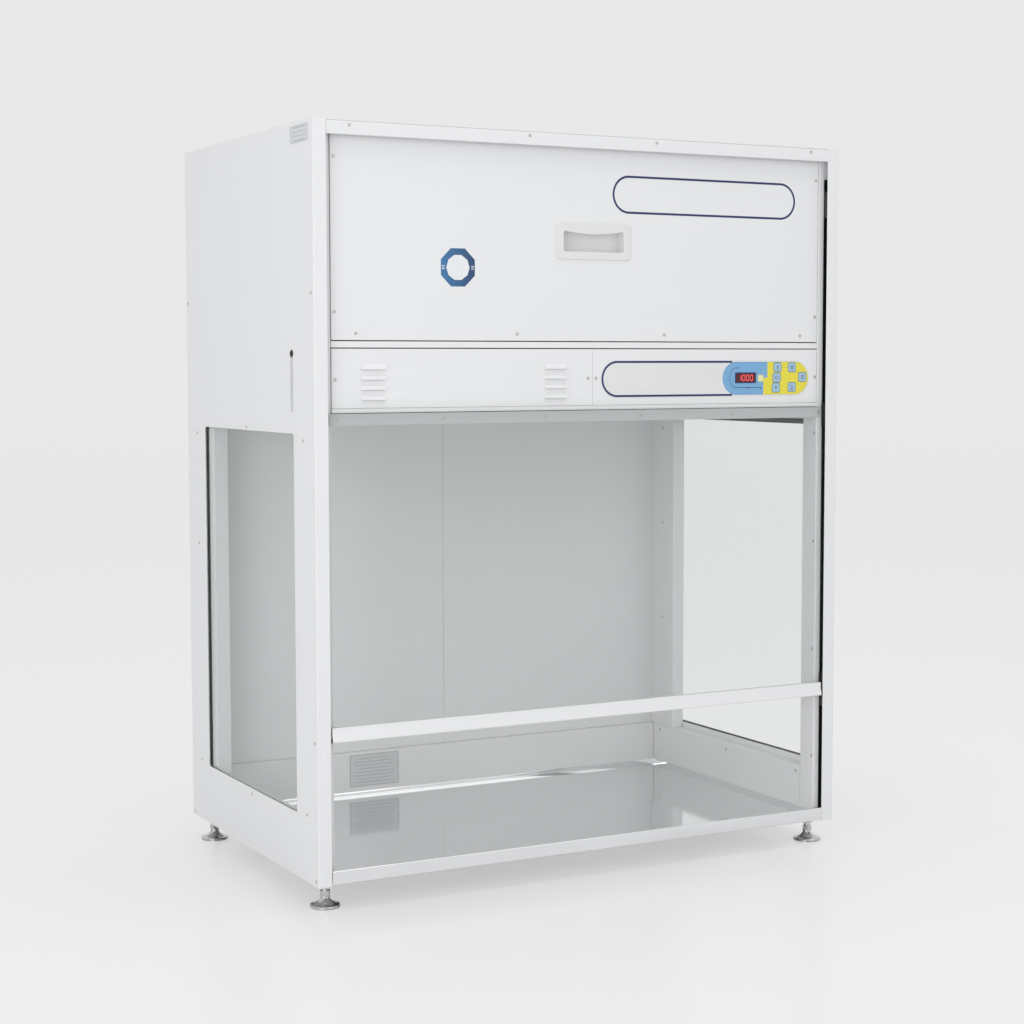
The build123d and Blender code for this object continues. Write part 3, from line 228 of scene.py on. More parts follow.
def clear_glass(name, axis):
    """Float glass: clear across its thickness, with the green of its edges where the sheet ends."""
    finish = Finish(name)
    across = abs(finish.axes("Normal")[axis]) > 0.7
    facing = finish.node("ShaderNodeLayerWeight", inputs={"Blend": 0.5}, output="Facing")
    haze = finish.noise(5.0, 3.0)
    clear = finish.node("ShaderNodeBsdfTransparent", inputs={"Color": (0.992, 0.997, 0.995)})
    edge = finish.node("ShaderNodeBsdfTransparent", inputs={"Color": (0.25, 0.42, 0.35)})
    finish.shade(
        base_color=finish.blend(across, (0.04, 0.12, 0.08), (0.30, 0.31, 0.31)),
        roughness=haze * 0.02 + 0.01,
    )
    gloss = Socket(finish, finish.shader.outputs[0])
    shine = facing ** 5.0 * 0.6 + 0.02
    pane = finish.node("ShaderNodeMixShader", inputs={0: shine, 1: clear, 2: gloss})
    rim = finish.node("ShaderNodeMixShader", inputs={0: 0.8, 1: edge, 2: gloss})
    both = finish.node("ShaderNodeMixShader", inputs={0: across, 1: rim, 2: pane})
    finish.feed(finish.output.inputs["Surface"], both)
    return finish.material


def moulded(name, colour, roughness=0.45, grain=900.0, depth=0.12):
    """Moulded plastic or rubber with a fine texture."""
    finish = Finish(name)
    texture = finish.noise(grain, 2.0)
    cloud = finish.noise(30.0, 2.0)
    finish.shade(
        base_color=finish.blend(cloud, darker(colour, 0.93), colour),
        roughness=cloud * 0.08 + (roughness - 0.04),
        normal=finish.bump(texture, depth, 0.00006),
    )
    return finish.material


def printed(name, colour, roughness=0.35):
    """Printing ink on film, with a trace of unevenness."""
    finish = Finish(name)
    cloud = finish.noise(120.0, 3.0)
    finish.shade(
        base_color=finish.blend(cloud, darker(colour, 0.94), colour),
        roughness=cloud * 0.06 + roughness,
    )
    return finish.material


def lit(name, colour, level):
    """A lit segment of the display."""
    finish = Finish(name)
    cloud = finish.noise(300.0, 1.0)
    finish.shade(
        base_color=darker(colour, 0.5),
        emission_color=finish.blend(cloud, darker(colour, 0.8), colour),
        emission_strength=level,
        roughness=0.4,
    )
    return finish.material


def filter_media(name, colour):
    """Felted filter fibre."""
    finish = Finish(name)
    fibre = finish.noise(260.0, 4.0, 0.7)
    finish.shade(
        base_color=finish.blend(fibre, darker(colour, 0.7), colour),
        roughness=0.95,
        normal=finish.bump(fibre, 0.6, 0.0006),
    )
    return finish.material


FINISHES = {
    "white_enamel": powder_coat("white_enamel", (0.83, 0.835, 0.84)),
    # Painted shade: this grey is the white powder paint darkened for the shade that falls on the head
    # strip, set back at the top of the chamber opening
    "grey_enamel": powder_coat("grey_enamel", (0.56, 0.565, 0.57)),
    "polished_steel": mirror_steel("polished_steel"),
    "bright_steel": bare_metal("bright_steel", (0.62, 0.63, 0.64), 0.34),
    "zinc_steel": bare_metal("zinc_steel", (0.58, 0.58, 0.58), 0.30),
    "steel_cable": bare_metal("steel_cable", (0.50, 0.50, 0.50), 0.35),
    # Painted shade: the dark of this green-grey stands for the shade deep inside the sash channels
    "anodised_aluminium": bare_metal("anodised_aluminium", (0.10, 0.125, 0.105), 0.42),
    "white_aluminium": powder_coat("white_aluminium", (0.84, 0.845, 0.85), 0.30),
    "clear_glass": clear_glass("side_glass", 0),
    "black_rubber": moulded("black_rubber", (0.02, 0.02, 0.02), 0.6),
    "grey_rubber": moulded("grey_rubber", (0.20, 0.205, 0.20), 0.6),
    "black_nylon": moulded("black_nylon", (0.025, 0.025, 0.025), 0.5),
    "white_plastic": moulded("white_plastic", (0.80, 0.80, 0.80), 0.32),
    "key_plastic": moulded("key_plastic", (0.38, 0.58, 0.74), 0.42),
    "circuit_board": moulded("circuit_board", (0.02, 0.12, 0.05), 0.35),
    "filter_media": filter_media("filter_media", (0.72, 0.70, 0.64)),
    "black_fan": powder_coat("black_fan", (0.03, 0.03, 0.033), 0.45),
    "chrome_foot": bare_metal("chrome_foot", (0.62, 0.61, 0.60), 0.16, grain=(60.0, 60.0, 800.0)),
}
SASH_GLASS = clear_glass("sash_glass", 1)
NAVY = printed("navy_ink", (0.018, 0.028, 0.12))
SKY = printed("sky_ink", (0.20, 0.43, 0.70))
YELLOW = printed("yellow_ink", (0.84, 0.74, 0.06))
WHITE = printed("white_ink", (0.84, 0.86, 0.88))
DISPLAY_RED = printed("display_window", (0.09, 0.008, 0.012), 0.15)
SEGMENT = lit("display_segment", (1.0, 0.10, 0.10), 1.2)
GREY_INK = printed("grey_ink", (0.42, 0.43, 0.44))
LABEL = printed("label_film", (0.70, 0.71, 0.72), 0.45)
GREY_GREEN = printed("key_outline_ink", (0.20, 0.33, 0.30))
LAMP_KEY = moulded("lamp_key_film", (0.86, 0.83, 0.42), 0.4)

# The seal's place across the front and the width over which its film darkens
SEAL_X = -0.294
SEAL_FADE = 0.080


def seal_blue():
    """Blue film, lighter to the left."""
    finish = Finish("seal_blue")
    across = finish.axes("Object")[0]
    fade = (across + (SEAL_FADE / 2 - SEAL_X)) * (1 / SEAL_FADE)
    finish.shade(base_color=finish.blend(fade, (0.045, 0.19, 0.40), (0.014, 0.045, 0.13)), roughness=0.3)
    return finish.material


SEAL_BLUE = seal_blue()


def body_of(node):
    """The body that a CAD node rides on."""
    return frame["nodes"][node]["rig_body"]


def settle(shape, name, body, slot, finish):
    """Turn a bmesh into a finished piece that rides on a body."""
    mesh = bpy.data.meshes.new(name)
    shape.to_mesh(mesh)
    shape.free()
    mesh.polygons.foreach_set("use_smooth", [True] * len(mesh.polygons))
    mesh.set_sharp_from_angle(angle=SMOOTH_ANGLE)
    mesh.materials.append(finish)
    piece = bpy.data.objects.new(name, mesh)
    bpy.context.scene.collection.objects.link(piece)
    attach(piece, body)
    return piece


def round_edges(piece):
    """Soften a piece's edges, and leave the nearly flat ones alone."""
    bevel = piece.modifiers.new("edges", "BEVEL")
    bevel.width = EDGE_ROUND
    bevel.segments = 2
    bevel.limit_method = "ANGLE"
    bevel.angle_limit = SMOOTH_ANGLE
    bevel.harden_normals = True


def welded_copy(node):
    """The node's surface as joined flat faces, for a piece that stands for it with softened edges."""
    shape = bmesh.new()
    shape.from_mesh(frame["nodes"][node].data)
    bmesh.ops.remove_doubles(shape, verts=shape.verts, dist=WELD)
    bmesh.ops.dissolve_limit(
        shape, angle_limit=FLAT_ANGLE, verts=shape.verts, edges=shape.edges, delimit={"NORMAL"}
    )
    return shape


def dress(node):
    """A piece that stands for a CAD node, with its edges softened."""
    slot = SLOTS[node]
    piece = settle(welded_copy(node), node + "_piece", body_of(node), slot, FINISHES[slot])
    round_edges(piece)
    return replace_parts(piece, node)


def coat(node, finish=None):
    """Give a CAD node its finish and leave its mesh alone."""
    mesh = frame["nodes"][node].data
    mesh.materials.clear()
    mesh.materials.append(finish or FINISHES[SLOTS[node]])


# Sheet metal and other pieces whose edges are softened
SOFTENED = (
    "side_panel_left", "side_panel_right", "top_rail", "filter_access_panel", "louvre_panel",
    "control_panel", "filter_shelf", "top_panel", "rear_panel", "front_post_left", "front_post_right",
    "rear_corner_posts", "side_liners", "back_wall_left", "back_wall_right", "lower_back_panel",
    "chamber_ceiling", "head_strip", "worktop_tray", "exhaust_grille",
    "flush_pull_handle", "sash_handle_bar", "base_frame", "lamp", "sash_guides",
)
for softened_name in SOFTENED:
    dress(softened_name)

# Pieces that keep the CAD mesh
COATED = (
    "sash_channels", "sash_stops", "cable_grommet", "power_inlet", "controller_board",
    "prefilter", "carbon_filter", "hepa_filter", "fan_deck", "fan_impeller", "fan_motor",
    "sheave_left", "sheave_right", "counterweight_left", "counterweight_right",
    "sash_cables_front", "sash_cables_rear", "sash_cable_wraps",
    "side_window_left", "side_window_right", "control_overlay",
    "key_1", "key_2", "key_3", "key_4", "key_5", "key_6", "cabinet_screws",
    "foot_front_left", "foot_front_right", "foot_rear_left", "foot_rear_right",
)
for coated_name in COATED:
    coat(coated_name)
coat("sash_glass", SASH_GLASS)
coat("lamp_key", LAMP_KEY)
coat("window_gaskets", FINISHES["grey_rubber"])

# Screw heads: each stands where the CAD node has a screw, found from the joined parts of its mesh
CROSS_HALF = 0.0013
CROSS_CELLS = 7
CROSS_ARM = CROSS_HALF * 0.72
CROSS_DEPTH = 0.0006
FLAT_RADIUS = CROSS_HALF * 1.4
HEAD_RINGS = ((0.0026, -0.00020), (0.0032, -0.00065), (0.0034, -0.0012))
SHANK_RINGS = ((0.0020, -0.0012), (0.0020, -0.0027))
SCREW_WELD = 1e-6
RIM_SHARE = 0.99
TURN_BY_X = 37
TURN_BY_Z = 23


def screw_head():
    """A pan head with a cross recess, its top at Z = 0 and its shank below."""
    shape = bmesh.new()
    bmesh.ops.create_grid(shape, x_segments=CROSS_CELLS, y_segments=CROSS_CELLS, size=CROSS_HALF)
    for vert in [v for v in shape.verts if v.is_boundary]:
        vert.co = vert.co.normalized() * FLAT_RADIUS
    half_cell = CROSS_HALF / CROSS_CELLS
    cross = []
    for face in shape.faces:
        centre = face.calc_center_median()
        x, y = abs(centre.x), abs(centre.y)
        if (x < half_cell and y < CROSS_ARM) or (y < half_cell and x < CROSS_ARM):
            cross.append(face)
    sunk = bmesh.ops.extrude_face_region(shape, geom=cross)
    bmesh.ops.delete(shape, geom=cross, context="FACES_ONLY")
    floor_verts = [item for item in sunk["geom"] if isinstance(item, bmesh.types.BMVert)]
    bmesh.ops.translate(shape, verts=floor_verts, vec=(0, 0, -CROSS_DEPTH))
    ring = [edge for edge in shape.edges if edge.is_boundary]
    for radius, height in HEAD_RINGS + SHANK_RINGS:
        grown = bmesh.ops.extrude_edge_only(shape, edges=ring)
        ring = [item for item in grown["geom"] if isinstance(item, bmesh.types.BMEdge)]
        for vert in {vert for edge in ring for vert in edge.verts}:
            around = Vector((vert.co.x, vert.co.y, 0)).normalized() * radius
            vert.co = (around.x, around.y, height)
    bmesh.ops.holes_fill(shape, edges=ring)
    bmesh.ops.recalc_face_normals(shape, faces=shape.faces)
    return shape


def joined_parts(shape):
    """The points of each joined part of a mesh."""
    waiting = dict.fromkeys(shape.verts)
    while waiting:
        front = [waiting.popitem()[0]]
        part = []
        while front:
            vert = front.pop()
            part.append(vert.co.copy())
            for edge in vert.link_edges:
                other = edge.other_vert(vert)
                if other in waiting:
                    del waiting[other]
                    front.append(other)
        yield part


def screw_place(points):
    """The matrix that puts a head's top on a CAD screw's outer end, with its cross turned its own way."""
    low = Vector([min(point[axis] for point in points) for axis in range(3)])
    high = Vector([max(point[axis] for point in points) for axis in range(3)])
    centre = (low + high) / 2
    size = high - low
    axis = min(range(3), key=lambda index: size[index])
    along = Vector([1.0 if index == axis else 0.0 for index in range(3)])
    flat = [point - along * (point - centre).dot(along) for point in points]
    reach = max((point - centre).length for point in flat)
    rims = [
        point for point, spread in zip(points, flat) if (spread - centre).length > reach * RIM_SHARE
    ]
    side = math.copysign(1.0, sum((point - centre).dot(along) for point in rims))
    tip = centre + along * side * size[axis] / 2
    turn = (along * side).to_track_quat("Z", "Y").to_matrix().to_4x4()
    own_turn = Matrix.Rotation(tip.x * TURN_BY_X + tip.z * TURN_BY_Z, 4, "Z")
    return Matrix.Translation(tip) @ turn @ own_turn


def screws():
    """All the cabinet's screws as one piece."""
    joined = bmesh.new()
    joined.from_mesh(frame["nodes"]["cabinet_screws"].data)
    bmesh.ops.remove_doubles(joined, verts=joined.verts, dist=SCREW_WELD)
    head = screw_head()
    head_mesh = bpy.data.meshes.new("screw_head")
    head.to_mesh(head_mesh)
    head.free()
    shape = bmesh.new()
    for points in joined_parts(joined):
        first = len(shape.verts)
        shape.from_mesh(head_mesh)
        shape.verts.ensure_lookup_table()
        bmesh.ops.transform(shape, matrix=screw_place(points), verts=shape.verts[first:])
    joined.free()
    body = body_of("cabinet_screws")
    piece = settle(shape, "cabinet_screws_piece", body, "zinc_steel", FINISHES["zinc_steel"])
    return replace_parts(piece, "cabinet_screws")


screws()

# Printing and small plates: flat shapes drawn facing the front, then laid on a surface
FRONT_VIEW = Matrix.Rotation(math.pi / 2, 4, "X")
LEFT_VIEW = Matrix.Rotation(-math.pi / 2, 4, "Z") @ FRONT_VIEW
PILL_STEPS = 48
RING_STEPS = 24


def pill(width, height):
    """A flat shape with semicircular ends."""
    shape = bmesh.new()
    bmesh.ops.create_circle(shape, cap_ends=True, segments=PILL_STEPS, radius=height / 2)
    bmesh.ops.rotate(shape, verts=shape.verts, matrix=Matrix.Rotation(math.pi / PILL_STEPS, 3, "Z"))
    for vert in shape.verts:
        vert.co.x += math.copysign((width - height) / 2, vert.co.x)
    return shape


def tile(width, height, radius=0.0):
    """A flat rectangle with rounded corners."""
    shape = bmesh.new()
    bmesh.ops.create_grid(shape, x_segments=1, y_segments=1, size=0.5)
    bmesh.ops.scale(shape, verts=shape.verts, vec=(width, height, 1))
    if radius:
        bmesh.ops.bevel(
            shape, geom=shape.verts[:], offset=radius, offset_type="OFFSET", segments=5, profile=0.5,
            affect="VERTICES", material=-1,
        )
    return shape


def band(shape, width):
    """Keep only the border of a flat shape."""
    inner = shape.faces[:]
    bmesh.ops.inset_region(shape, faces=inner, thickness=width, use_even_offset=True, use_boundary=True)
    bmesh.ops.delete(shape, geom=inner, context="FACES")
    return shape


def clip(shape, axis, at, keep_below):
    """Cut a flat shape along a line and keep one side of it."""
    normal = Vector((0, 0, 0))
    normal[axis] = 1.0 if keep_below else -1.0
    point = Vector((0, 0, 0))
    point[axis] = at
    geometry = shape.verts[:] + shape.edges[:] + shape.faces[:]
    bmesh.ops.bisect_plane(shape, geom=geometry, plane_co=point, plane_no=normal, clear_outer=True)
    return shape


def shifted(shape, across, up):
    """Move a flat shape in its own plane."""
    bmesh.ops.translate(shape, verts=shape.verts, vec=(across, up, 0))
    return shape


def together(shapes):
    """Join flat shapes in one mesh."""
    joined = bmesh.new()
    for shape in shapes:
        mesh = bpy.data.meshes.new("flat")
        shape.to_mesh(mesh)
        shape.free()
        joined.from_mesh(mesh)
        bpy.data.meshes.remove(mesh)
    return joined


def lay(
    shape, name, place, finish, thickness=INK, view=FRONT_VIEW, body="cabinet", slot="white_plastic"
):
    """Give a flat shape a thickness towards the viewer and lay it at a place."""
    bmesh.ops.recalc_face_normals(shape, faces=shape.faces)
    flat = shape.faces[:]
    if flat[0].normal.z < 0:
        bmesh.ops.reverse_faces(shape, faces=flat)
    raised = bmesh.ops.extrude_face_region(shape, geom=flat, use_keep_orig=True)
    bmesh.ops.reverse_faces(shape, faces=flat)
    tops = [item for item in raised["geom"] if isinstance(item, bmesh.types.BMVert)]
    bmesh.ops.translate(shape, verts=tops, vec=(0, 0, thickness))
    bmesh.ops.recalc_face_normals(shape, faces=shape.faces)
    bmesh.ops.transform(shape, matrix=Matrix.Translation(place) @ view, verts=shape.verts)
    return settle(shape, name, body, slot, finish)


def centre_of(node):
    """The middle of a CAD node's box."""
    low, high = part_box(node)
    return (Vector(low) + Vector(high)) / 2


# Keypad print
overlay_low, overlay_high = (Vector(corner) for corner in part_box("control_overlay"))
OVERLAY_Y = overlay_low.y
OVERLAY_Z = (overlay_low.z + overlay_high.z) / 2
OVERLAY_WIDTH = overlay_high.x - overlay_low.x
OVERLAY_HEIGHT = overlay_high.z - overlay_low.z
OVERLAY_MIDDLE = Vector(((overlay_low.x + overlay_high.x) / 2, OVERLAY_Y, OVERLAY_Z))
FIELD_WIDTH = 0.218
FIELD_HEIGHT = 0.069
FIELD_RIGHT_GAP = 0.003
FIELD_MIDDLE = Vector((overlay_high.x - FIELD_RIGHT_GAP - FIELD_WIDTH / 2, OVERLAY_Y, OVERLAY_Z))
SEAM_UPPER = 0.004
SEAM_LOWER = -0.006
SEAM_HEIGHT = 0.001
KEY_WINDOW = (0.0190, 0.0190)
LAMP_WINDOW = (0.0140, 0.0150)
KEY_NAMES = ("key_1", "key_2", "key_3", "key_4", "key_5", "key_6")
OUTLINE_EDGE = 0.0015
OUTLINE_WIDTH = 0.0042
OUTLINE_STOP = 0.085
OUTLINE_END = FIELD_MIDDLE.x - OVERLAY_MIDDLE.x - OUTLINE_STOP
BORDER_WIDTH = 0.0024
BORDER_PAST_FIELD = 0.002


def windows(shape):
    """Cut a window for each key in a flat shape that lies around the field's middle."""
    for name in KEY_NAMES + ("lamp_key",):
        wide, tall = LAMP_WINDOW if name == "lamp_key" else KEY_WINDOW
        middle = centre_of(name) - FIELD_MIDDLE
        across, up = Vector((1, 0, 0)), Vector((0, 1, 0))
        cuts = [(across, middle.x + side * wide / 2) for side in (-1, 1)]
        cuts += [(up, middle.z + side * tall / 2) for side in (-1, 1)]
        for line, at in cuts:
            geometry = shape.verts[:] + shape.edges[:] + shape.faces[:]
            bmesh.ops.bisect_plane(shape, geom=geometry, plane_co=line * at, plane_no=line)
        inside = [
            face for face in shape.faces
            if abs(face.calc_center_median().x - middle.x) < wide / 2
            and abs(face.calc_center_median().y - middle.z) < tall / 2
        ]
        bmesh.ops.delete(shape, geom=inside, context="FACES")
    return shape


def field(below):
    """The blue field's or the yellow field's share of the pill, with a step in their seam."""
    halves = []
    for seam, upper in ((SEAM_UPPER, True), (SEAM_LOWER, False)):
        half = clip(pill(FIELD_WIDTH, FIELD_HEIGHT), 1, SEAM_HEIGHT, not upper)
        halves.append(clip(half, 0, seam, below))
    return windows(together(halves))


outline = pill(OVERLAY_WIDTH - 2 * OUTLINE_EDGE, OVERLAY_HEIGHT - 2 * OUTLINE_EDGE)
outline = clip(band(outline, OUTLINE_WIDTH), 0, OUTLINE_END, True)
lay(outline, "keypad_outline", OVERLAY_MIDDLE, NAVY)
border = pill(FIELD_WIDTH + 2 * BORDER_PAST_FIELD, FIELD_HEIGHT + 2 * BORDER_PAST_FIELD)
border = windows(band(border, BORDER_WIDTH))
lay(border, "keypad_border", FIELD_MIDDLE, WHITE)
lay(field(True), "keypad_blue_field", FIELD_MIDDLE, SKY)
lay(field(False), "keypad_yellow_field", FIELD_MIDDLE, YELLOW)

# Display: its frame and window have a width, a height and a corner radius
DISPLAY = Vector((0.3757, OVERLAY_Y - INK, 1.0070))
DISPLAY_FRAME = (0.053, 0.0225, 0.0015)
DISPLAY_WINDOW = (0.048, 0.0180, 0.0008)
DIGITS = "1000"
DIGIT_WIDTH = 0.0062
DIGIT_HEIGHT = 0.0115
DIGIT_STEP = 0.0098
STROKE = 0.0013
STROKE_TRIM = STROKE * 0.6

# Each segment's place across and up, in half digits, and whether it lies level
SEGMENTS = {
    "top": (0, 1, True),
    "base": (0, -1, True),
    "upper_left": (-1, 0.5, False),
    "upper_right": (1, 0.5, False),
    "lower_left": (-1, -0.5, False),
    "lower_right": (1, -0.5, False),
}
LIT = {
    "0": ("top", "base", "upper_left", "upper_right", "lower_left", "lower_right"),
    "1": ("upper_right", "lower_right"),
}


def digits():
    """The lit segments of the display's digits."""
    strokes = []
    for index, digit in enumerate(DIGITS):
        start = (index - (len(DIGITS) - 1) / 2) * DIGIT_STEP
        for segment in LIT[digit]:
            across, up, level = SEGMENTS[segment]
            length = DIGIT_WIDTH if level else DIGIT_HEIGHT / 2
            long_side = length - STROKE_TRIM
            stroke = tile(long_side, STROKE) if level else tile(STROKE, long_side)
            strokes.append(shifted(stroke, start + across * DIGIT_WIDTH / 2, up * DIGIT_HEIGHT / 2))
    return together(strokes)


lay(tile(*DISPLAY_FRAME), "display_frame", DISPLAY, NAVY)
lay(tile(*DISPLAY_WINDOW), "display_window", DISPLAY + Vector((0, -INK, 0)), DISPLAY_RED)
lay(digits(), "display_digits", DISPLAY + Vector((0, -2 * INK, 0)), SEGMENT)

# Printed flow line round the display, with its arrow heads
LINE_WIDTH = 0.0011
LINE_LENGTH = 0.062
ARC_RADIUS = 0.021
ARC_SQUEEZE = 0.75
ARC_ARROW = 0.004
ARROW_RADIUS = 0.0024
ARROW_PAST_LINE = 0.001
FLOW_LEFT_OF_DISPLAY = 0.0245
flow_arc = clip(band(pill(2 * ARC_RADIUS, 2 * ARC_RADIUS), LINE_WIDTH), 0, 0.0, True)
bmesh.ops.scale(flow_arc, verts=flow_arc.verts, vec=(ARC_SQUEEZE, 1, 1))
flow_line = shifted(tile(LINE_LENGTH, LINE_WIDTH), LINE_LENGTH / 2, -ARC_RADIUS + LINE_WIDTH / 2)


def arrow(across, up, turn):
    """A small triangle."""
    shape = bmesh.new()
    bmesh.ops.create_circle(shape, cap_ends=True, segments=3, radius=ARROW_RADIUS)
    bmesh.ops.rotate(shape, verts=shape.verts, matrix=Matrix.Rotation(turn, 3, "Z"))
    return shifted(shape, across, up)


arrows = [
    arrow(ARC_ARROW, ARC_RADIUS, 0),
    arrow(LINE_LENGTH + ARROW_PAST_LINE, -ARC_RADIUS, math.pi),
    arrow(LINE_LENGTH / 2 + ARROW_PAST_LINE, -ARC_RADIUS, 0),
]
flow_start = Vector((DISPLAY.x - FLOW_LEFT_OF_DISPLAY, OVERLAY_Y - INK, DISPLAY.z))
lay(together([flow_arc, flow_line, *arrows]), "flow_line", flow_start, NAVY)

# Dashed lines between keys
DASH = (0.0022, 0.0009)
DASH_START = 0.34
DASH_SPREAD = 0.32
DASH_COUNT = 3


def dashes(start, end):
    """A dashed line on the middle part of the way between two keys."""
    first, last = centre_of(start) - FIELD_MIDDLE, centre_of(end) - FIELD_MIDDLE
    turn = math.atan2(last.z - first.z, last.x - first.x)
    shapes = []
    for index in range(DASH_COUNT):
        share = DASH_START + DASH_SPREAD * index / (DASH_COUNT - 1)
        dash = tile(*DASH)
        bmesh.ops.rotate(dash, verts=dash.verts, matrix=Matrix.Rotation(turn, 3, "Z"))
        spot = first.lerp(last, share)
        shapes.append(shifted(dash, spot.x, spot.z))
    return shapes


links = together(dashes("key_4", "key_5") + dashes("key_5", "key_6") + dashes("key_1", "key_4"))
lay(links, "key_links", FIELD_MIDDLE + Vector((0, -INK, 0)), NAVY)


def ring(radius, width):
    """A round band."""
    shape = bmesh.new()
    bmesh.ops.create_circle(shape, cap_ends=True, segments=RING_STEPS, radius=radius)
    return band(shape, width)


# The keys' signs, and a rim round each key
SIGN_RING = 0.0040
SMALL_SIGN_RING = 0.0034
SIGN_LINE = 0.0009
ARROW_OFF = 0.0012
STEM_OFF = 0.0022
KEY_RIM = 0.0214
KEY_RIM_RADIUS = 0.005
KEY_RIM_WIDTH = 0.0011


def bar(width, height, up=0.0):
    """A bar of a key's sign, above or below the key's middle."""
    return shifted(tile(width, height), 0, up)


key_signs = {
    "key_1": [arrow(0, ARROW_OFF, math.pi / 2), bar(0.0016, 0.0040, -STEM_OFF)],
    "key_2": [ring(SIGN_RING, SIGN_LINE)],
    "key_3": [arrow(0, -ARROW_OFF, -math.pi / 2), bar(0.0016, 0.0040, STEM_OFF)],
    "key_4": [ring(SIGN_RING, SIGN_LINE), bar(0.0012, 0.0046)],
    "key_5": [bar(0.0086, 0.0012), bar(0.0060, 0.0012, 0.0030), bar(0.0060, 0.0012, -0.0030)],
    "key_6": [ring(SMALL_SIGN_RING, SIGN_LINE), bar(0.0086, 0.0010, -0.0050)],
}
for key_name, sign in key_signs.items():
    face_place = centre_of(key_name)
    face_place.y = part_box(key_name)[0][1]
    key_body = body_of(key_name)
    lay(together(sign), key_name + "_sign", face_place, NAVY, body=key_body, slot="key_plastic")
    rim = band(tile(KEY_RIM, KEY_RIM, KEY_RIM_RADIUS), KEY_RIM_WIDTH)
    lay(rim, key_name + "_rim", Vector((face_place.x, OVERLAY_Y - INK, face_place.z)), GREY_GREEN)

# Filter panel: a bare badge outline and a plain eight-sided seal
PANEL_Y = -0.343
BADGE = Vector((0.2754, PANEL_Y, 1.375))
BADGE_WIDTH = 0.447
BADGE_HEIGHT = 0.076
BADGE_LINE = 0.0044
SEAL = Vector((SEAL_X, PANEL_Y, 1.222))
SEAL_HALO_RADIUS = 0.0420
SEAL_RING_RADIUS = 0.0395
SEAL_CENTRE_RADIUS = 0.0250
STRIPE = (0.0055, 0.0012)
STRIPE_X = 0.0315
STRIPE_STEP = 0.003


def polygon(sides, radius):
    """A flat shape with straight sides, one of them level."""
    shape = bmesh.new()
    bmesh.ops.create_circle(shape, cap_ends=True, segments=sides, radius=radius)
    bmesh.ops.rotate(shape, verts=shape.verts, matrix=Matrix.Rotation(math.pi / sides, 3, "Z"))
    return shape


def film(layer, shape, name, finish):
    """Lay a film on the seal, one ink's thickness higher for each layer below it."""
    lay(shape, name, SEAL + Vector((0, -layer * INK, 0)), finish, slot="white_enamel")


lay(band(pill(BADGE_WIDTH, BADGE_HEIGHT), BADGE_LINE), "badge_outline", BADGE, NAVY, slot="white_enamel")
film(0, polygon(8, SEAL_HALO_RADIUS), "seal_halo", WHITE)
film(1, polygon(8, SEAL_RING_RADIUS), "seal_ring", SEAL_BLUE)
film(2, polygon(10, SEAL_CENTRE_RADIUS), "seal_centre", WHITE)
stripes = [
    shifted(tile(*STRIPE), side * STRIPE_X, row * STRIPE_STEP)
    for side in (-1, 1)
    for row in (-1, 0, 1)
]
film(2, together(stripes), "seal_stripes", WHITE)

# Plates with a border and blank rules, whose lengths are shares of the plate's width
PLATE_THICKNESS = 0.0004
PLATE_RADIUS = 0.003
PLATE_EDGE = 0.002
PLATE_LINE = 0.0008
RULE_WIDTH = 0.0011
RULES_SPAN = 0.72
LONG_RULE = 0.78
SHORT_RULE = 0.62


def ruled_plate(name, width, height, place, view, rows):
    """A plain plate with a border and blank rules on it."""
    plate = tile(width, height, PLATE_RADIUS)
    lay(plate, name, place, LABEL, thickness=PLATE_THICKNESS, view=view, slot="white_enamel")
    toward = (view.to_3x3() @ Vector((0, 0, 1))) * PLATE_THICKNESS
    shapes = [band(tile(width - 2 * PLATE_EDGE, height - 2 * PLATE_EDGE, PLATE_EDGE), PLATE_LINE)]
    for row in range(rows):
        up = height * RULES_SPAN * (0.5 - row / (rows - 1))
        length = width * (LONG_RULE if row % 3 else SHORT_RULE)
        shapes.append(shifted(tile(length, RULE_WIDTH), 0, up))
    rules_place = Vector(place) + toward
    lay(together(shapes), name + "_rules", rules_place, GREY_INK, view=view, slot="white_enamel")


ruled_plate("notice_plate", 0.123, 0.075, (-0.1885, 0.3040, 0.1175), FRONT_VIEW, 8)
ruled_plate("upper_side_plate", 0.088, 0.033, (-0.600, -0.295, 1.4655), LEFT_VIEW, 4)
ruled_plate("cable_side_plate", 0.013, 0.107, (-0.600, -0.2485, 1.0), LEFT_VIEW, 14)

# Floor
floor_shape = bmesh.new()
bmesh.ops.create_grid(floor_shape, x_segments=1, y_segments=1, size=FLOOR_HALF)
floor_mesh = bpy.data.meshes.new("floor")
floor_shape.to_mesh(floor_mesh)
floor_shape.free()
floor = bpy.data.objects.new("floor", floor_mesh)
bpy.context.scene.collection.objects.link(floor)
floor_finish = Finish("floor")
floor_cloud = floor_finish.noise(0.6, 2.0)
floor_finish.shade(
    base_color=floor_finish.blend(floor_cloud, darker(FLOOR_COLOUR, 0.99), FLOOR_COLOUR),
    roughness=0.22,
    specular_ior_level=0.35,
)
glow = floor_finish.node("ShaderNodeEmission", inputs={"Color": FLOOR_GLOW, "Strength": 1.0})
seen_directly = floor_finish.node("ShaderNodeLightPath", output="Is Camera Ray")
plain_floor = Socket(floor_finish, floor_finish.shader.outputs[0])
floor_layers = {0: seen_directly * FLOOR_GLOW_SHARE, 1: plain_floor, 2: glow}
lit_floor = floor_finish.node("ShaderNodeMixShader", inputs=floor_layers)
floor_finish.feed(floor_finish.output.inputs["Surface"], lit_floor)
floor_mesh.materials.append(floor_finish.material)

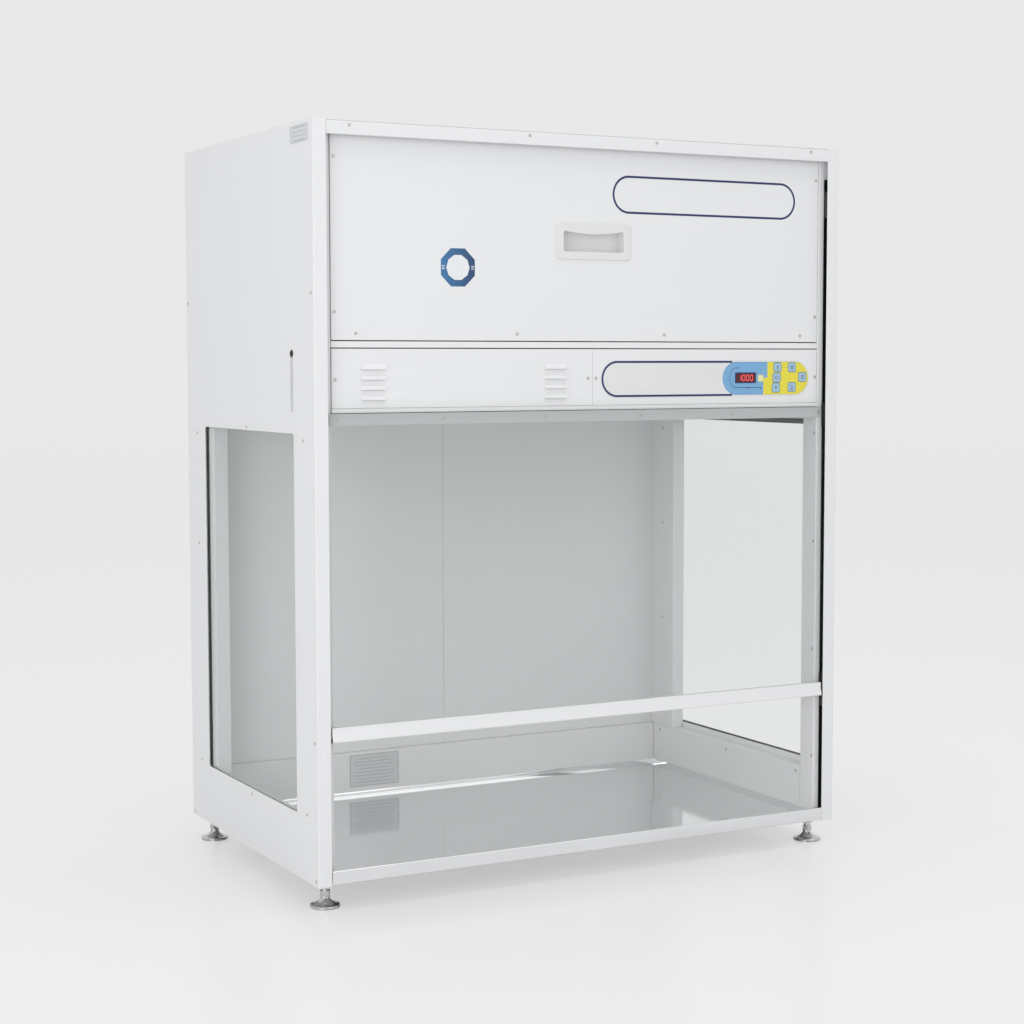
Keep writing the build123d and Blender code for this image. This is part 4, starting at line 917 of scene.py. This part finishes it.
# Studio: an even pale surround and broad lights from the front, the left and above
world = bpy.data.worlds.new("studio")
world.use_nodes = True
bpy.context.scene.world = world
tree = world.node_tree
background = tree.nodes["Background"]
path = tree.nodes.new("ShaderNodeLightPath")
seen = tree.nodes.new("ShaderNodeMath")
seen.operation = "MAXIMUM"
tree.links.new(path.outputs["Is Camera Ray"], seen.inputs[0])
tree.links.new(path.outputs["Is Glossy Ray"], seen.inputs[1])
level = tree.nodes.new("ShaderNodeMapRange")
level.inputs["To Min"].default_value = WORLD_LEVEL
level.inputs["To Max"].default_value = BACKDROP_LEVEL
tree.links.new(seen.outputs[0], level.inputs["Value"])
background.inputs["Color"].default_value = STUDIO_TINT
tree.links.new(level.outputs[0], background.inputs["Strength"])


def soft_light(name, position, target, size, power):
    """A square area light that points from a position to a target."""
    lamp = bpy.data.lights.new(name, "AREA")
    lamp.shape = "SQUARE"
    lamp.size = size
    lamp.energy = power
    holder = bpy.data.objects.new(name, lamp)
    bpy.context.scene.collection.objects.link(holder)
    turn = (Vector(target) - Vector(position)).to_track_quat("-Z", "Y").to_matrix().to_4x4()
    holder.matrix_world = Matrix.Translation(position) @ turn


soft_light("front_light", position=(1.2, -4.5, 2.6), target=(0.0, 0.0, 0.7), size=3.0, power=14.0)
soft_light("left_light", position=(-3.6, -3.0, 1.1), target=(0.0, 0.1, 0.6), size=2.4, power=44.0)
soft_light("top_light", position=(0.0, -0.5, 4.5), target=(0.0, 0.0, 0.0), size=3.0, power=50.0)

camera = bpy.data.objects.new("camera", bpy.data.cameras.new("camera"))
camera.data.lens = VIEW_LENS
camera.data.sensor_width = SENSOR
camera.matrix_world = (
    Matrix.Translation(VIEW_POSITION)
    @ Matrix.Rotation(VIEW_YAW, 4, "Z")
    @ Matrix.Rotation(math.pi / 2 - VIEW_PITCH, 4, "X")
    @ Matrix.Rotation(VIEW_ROLL, 4, "Z")
)
bpy.context.scene.collection.objects.link(camera)
bpy.context.scene.camera = camera
bpy.context.scene.view_settings.view_transform = "Standard"
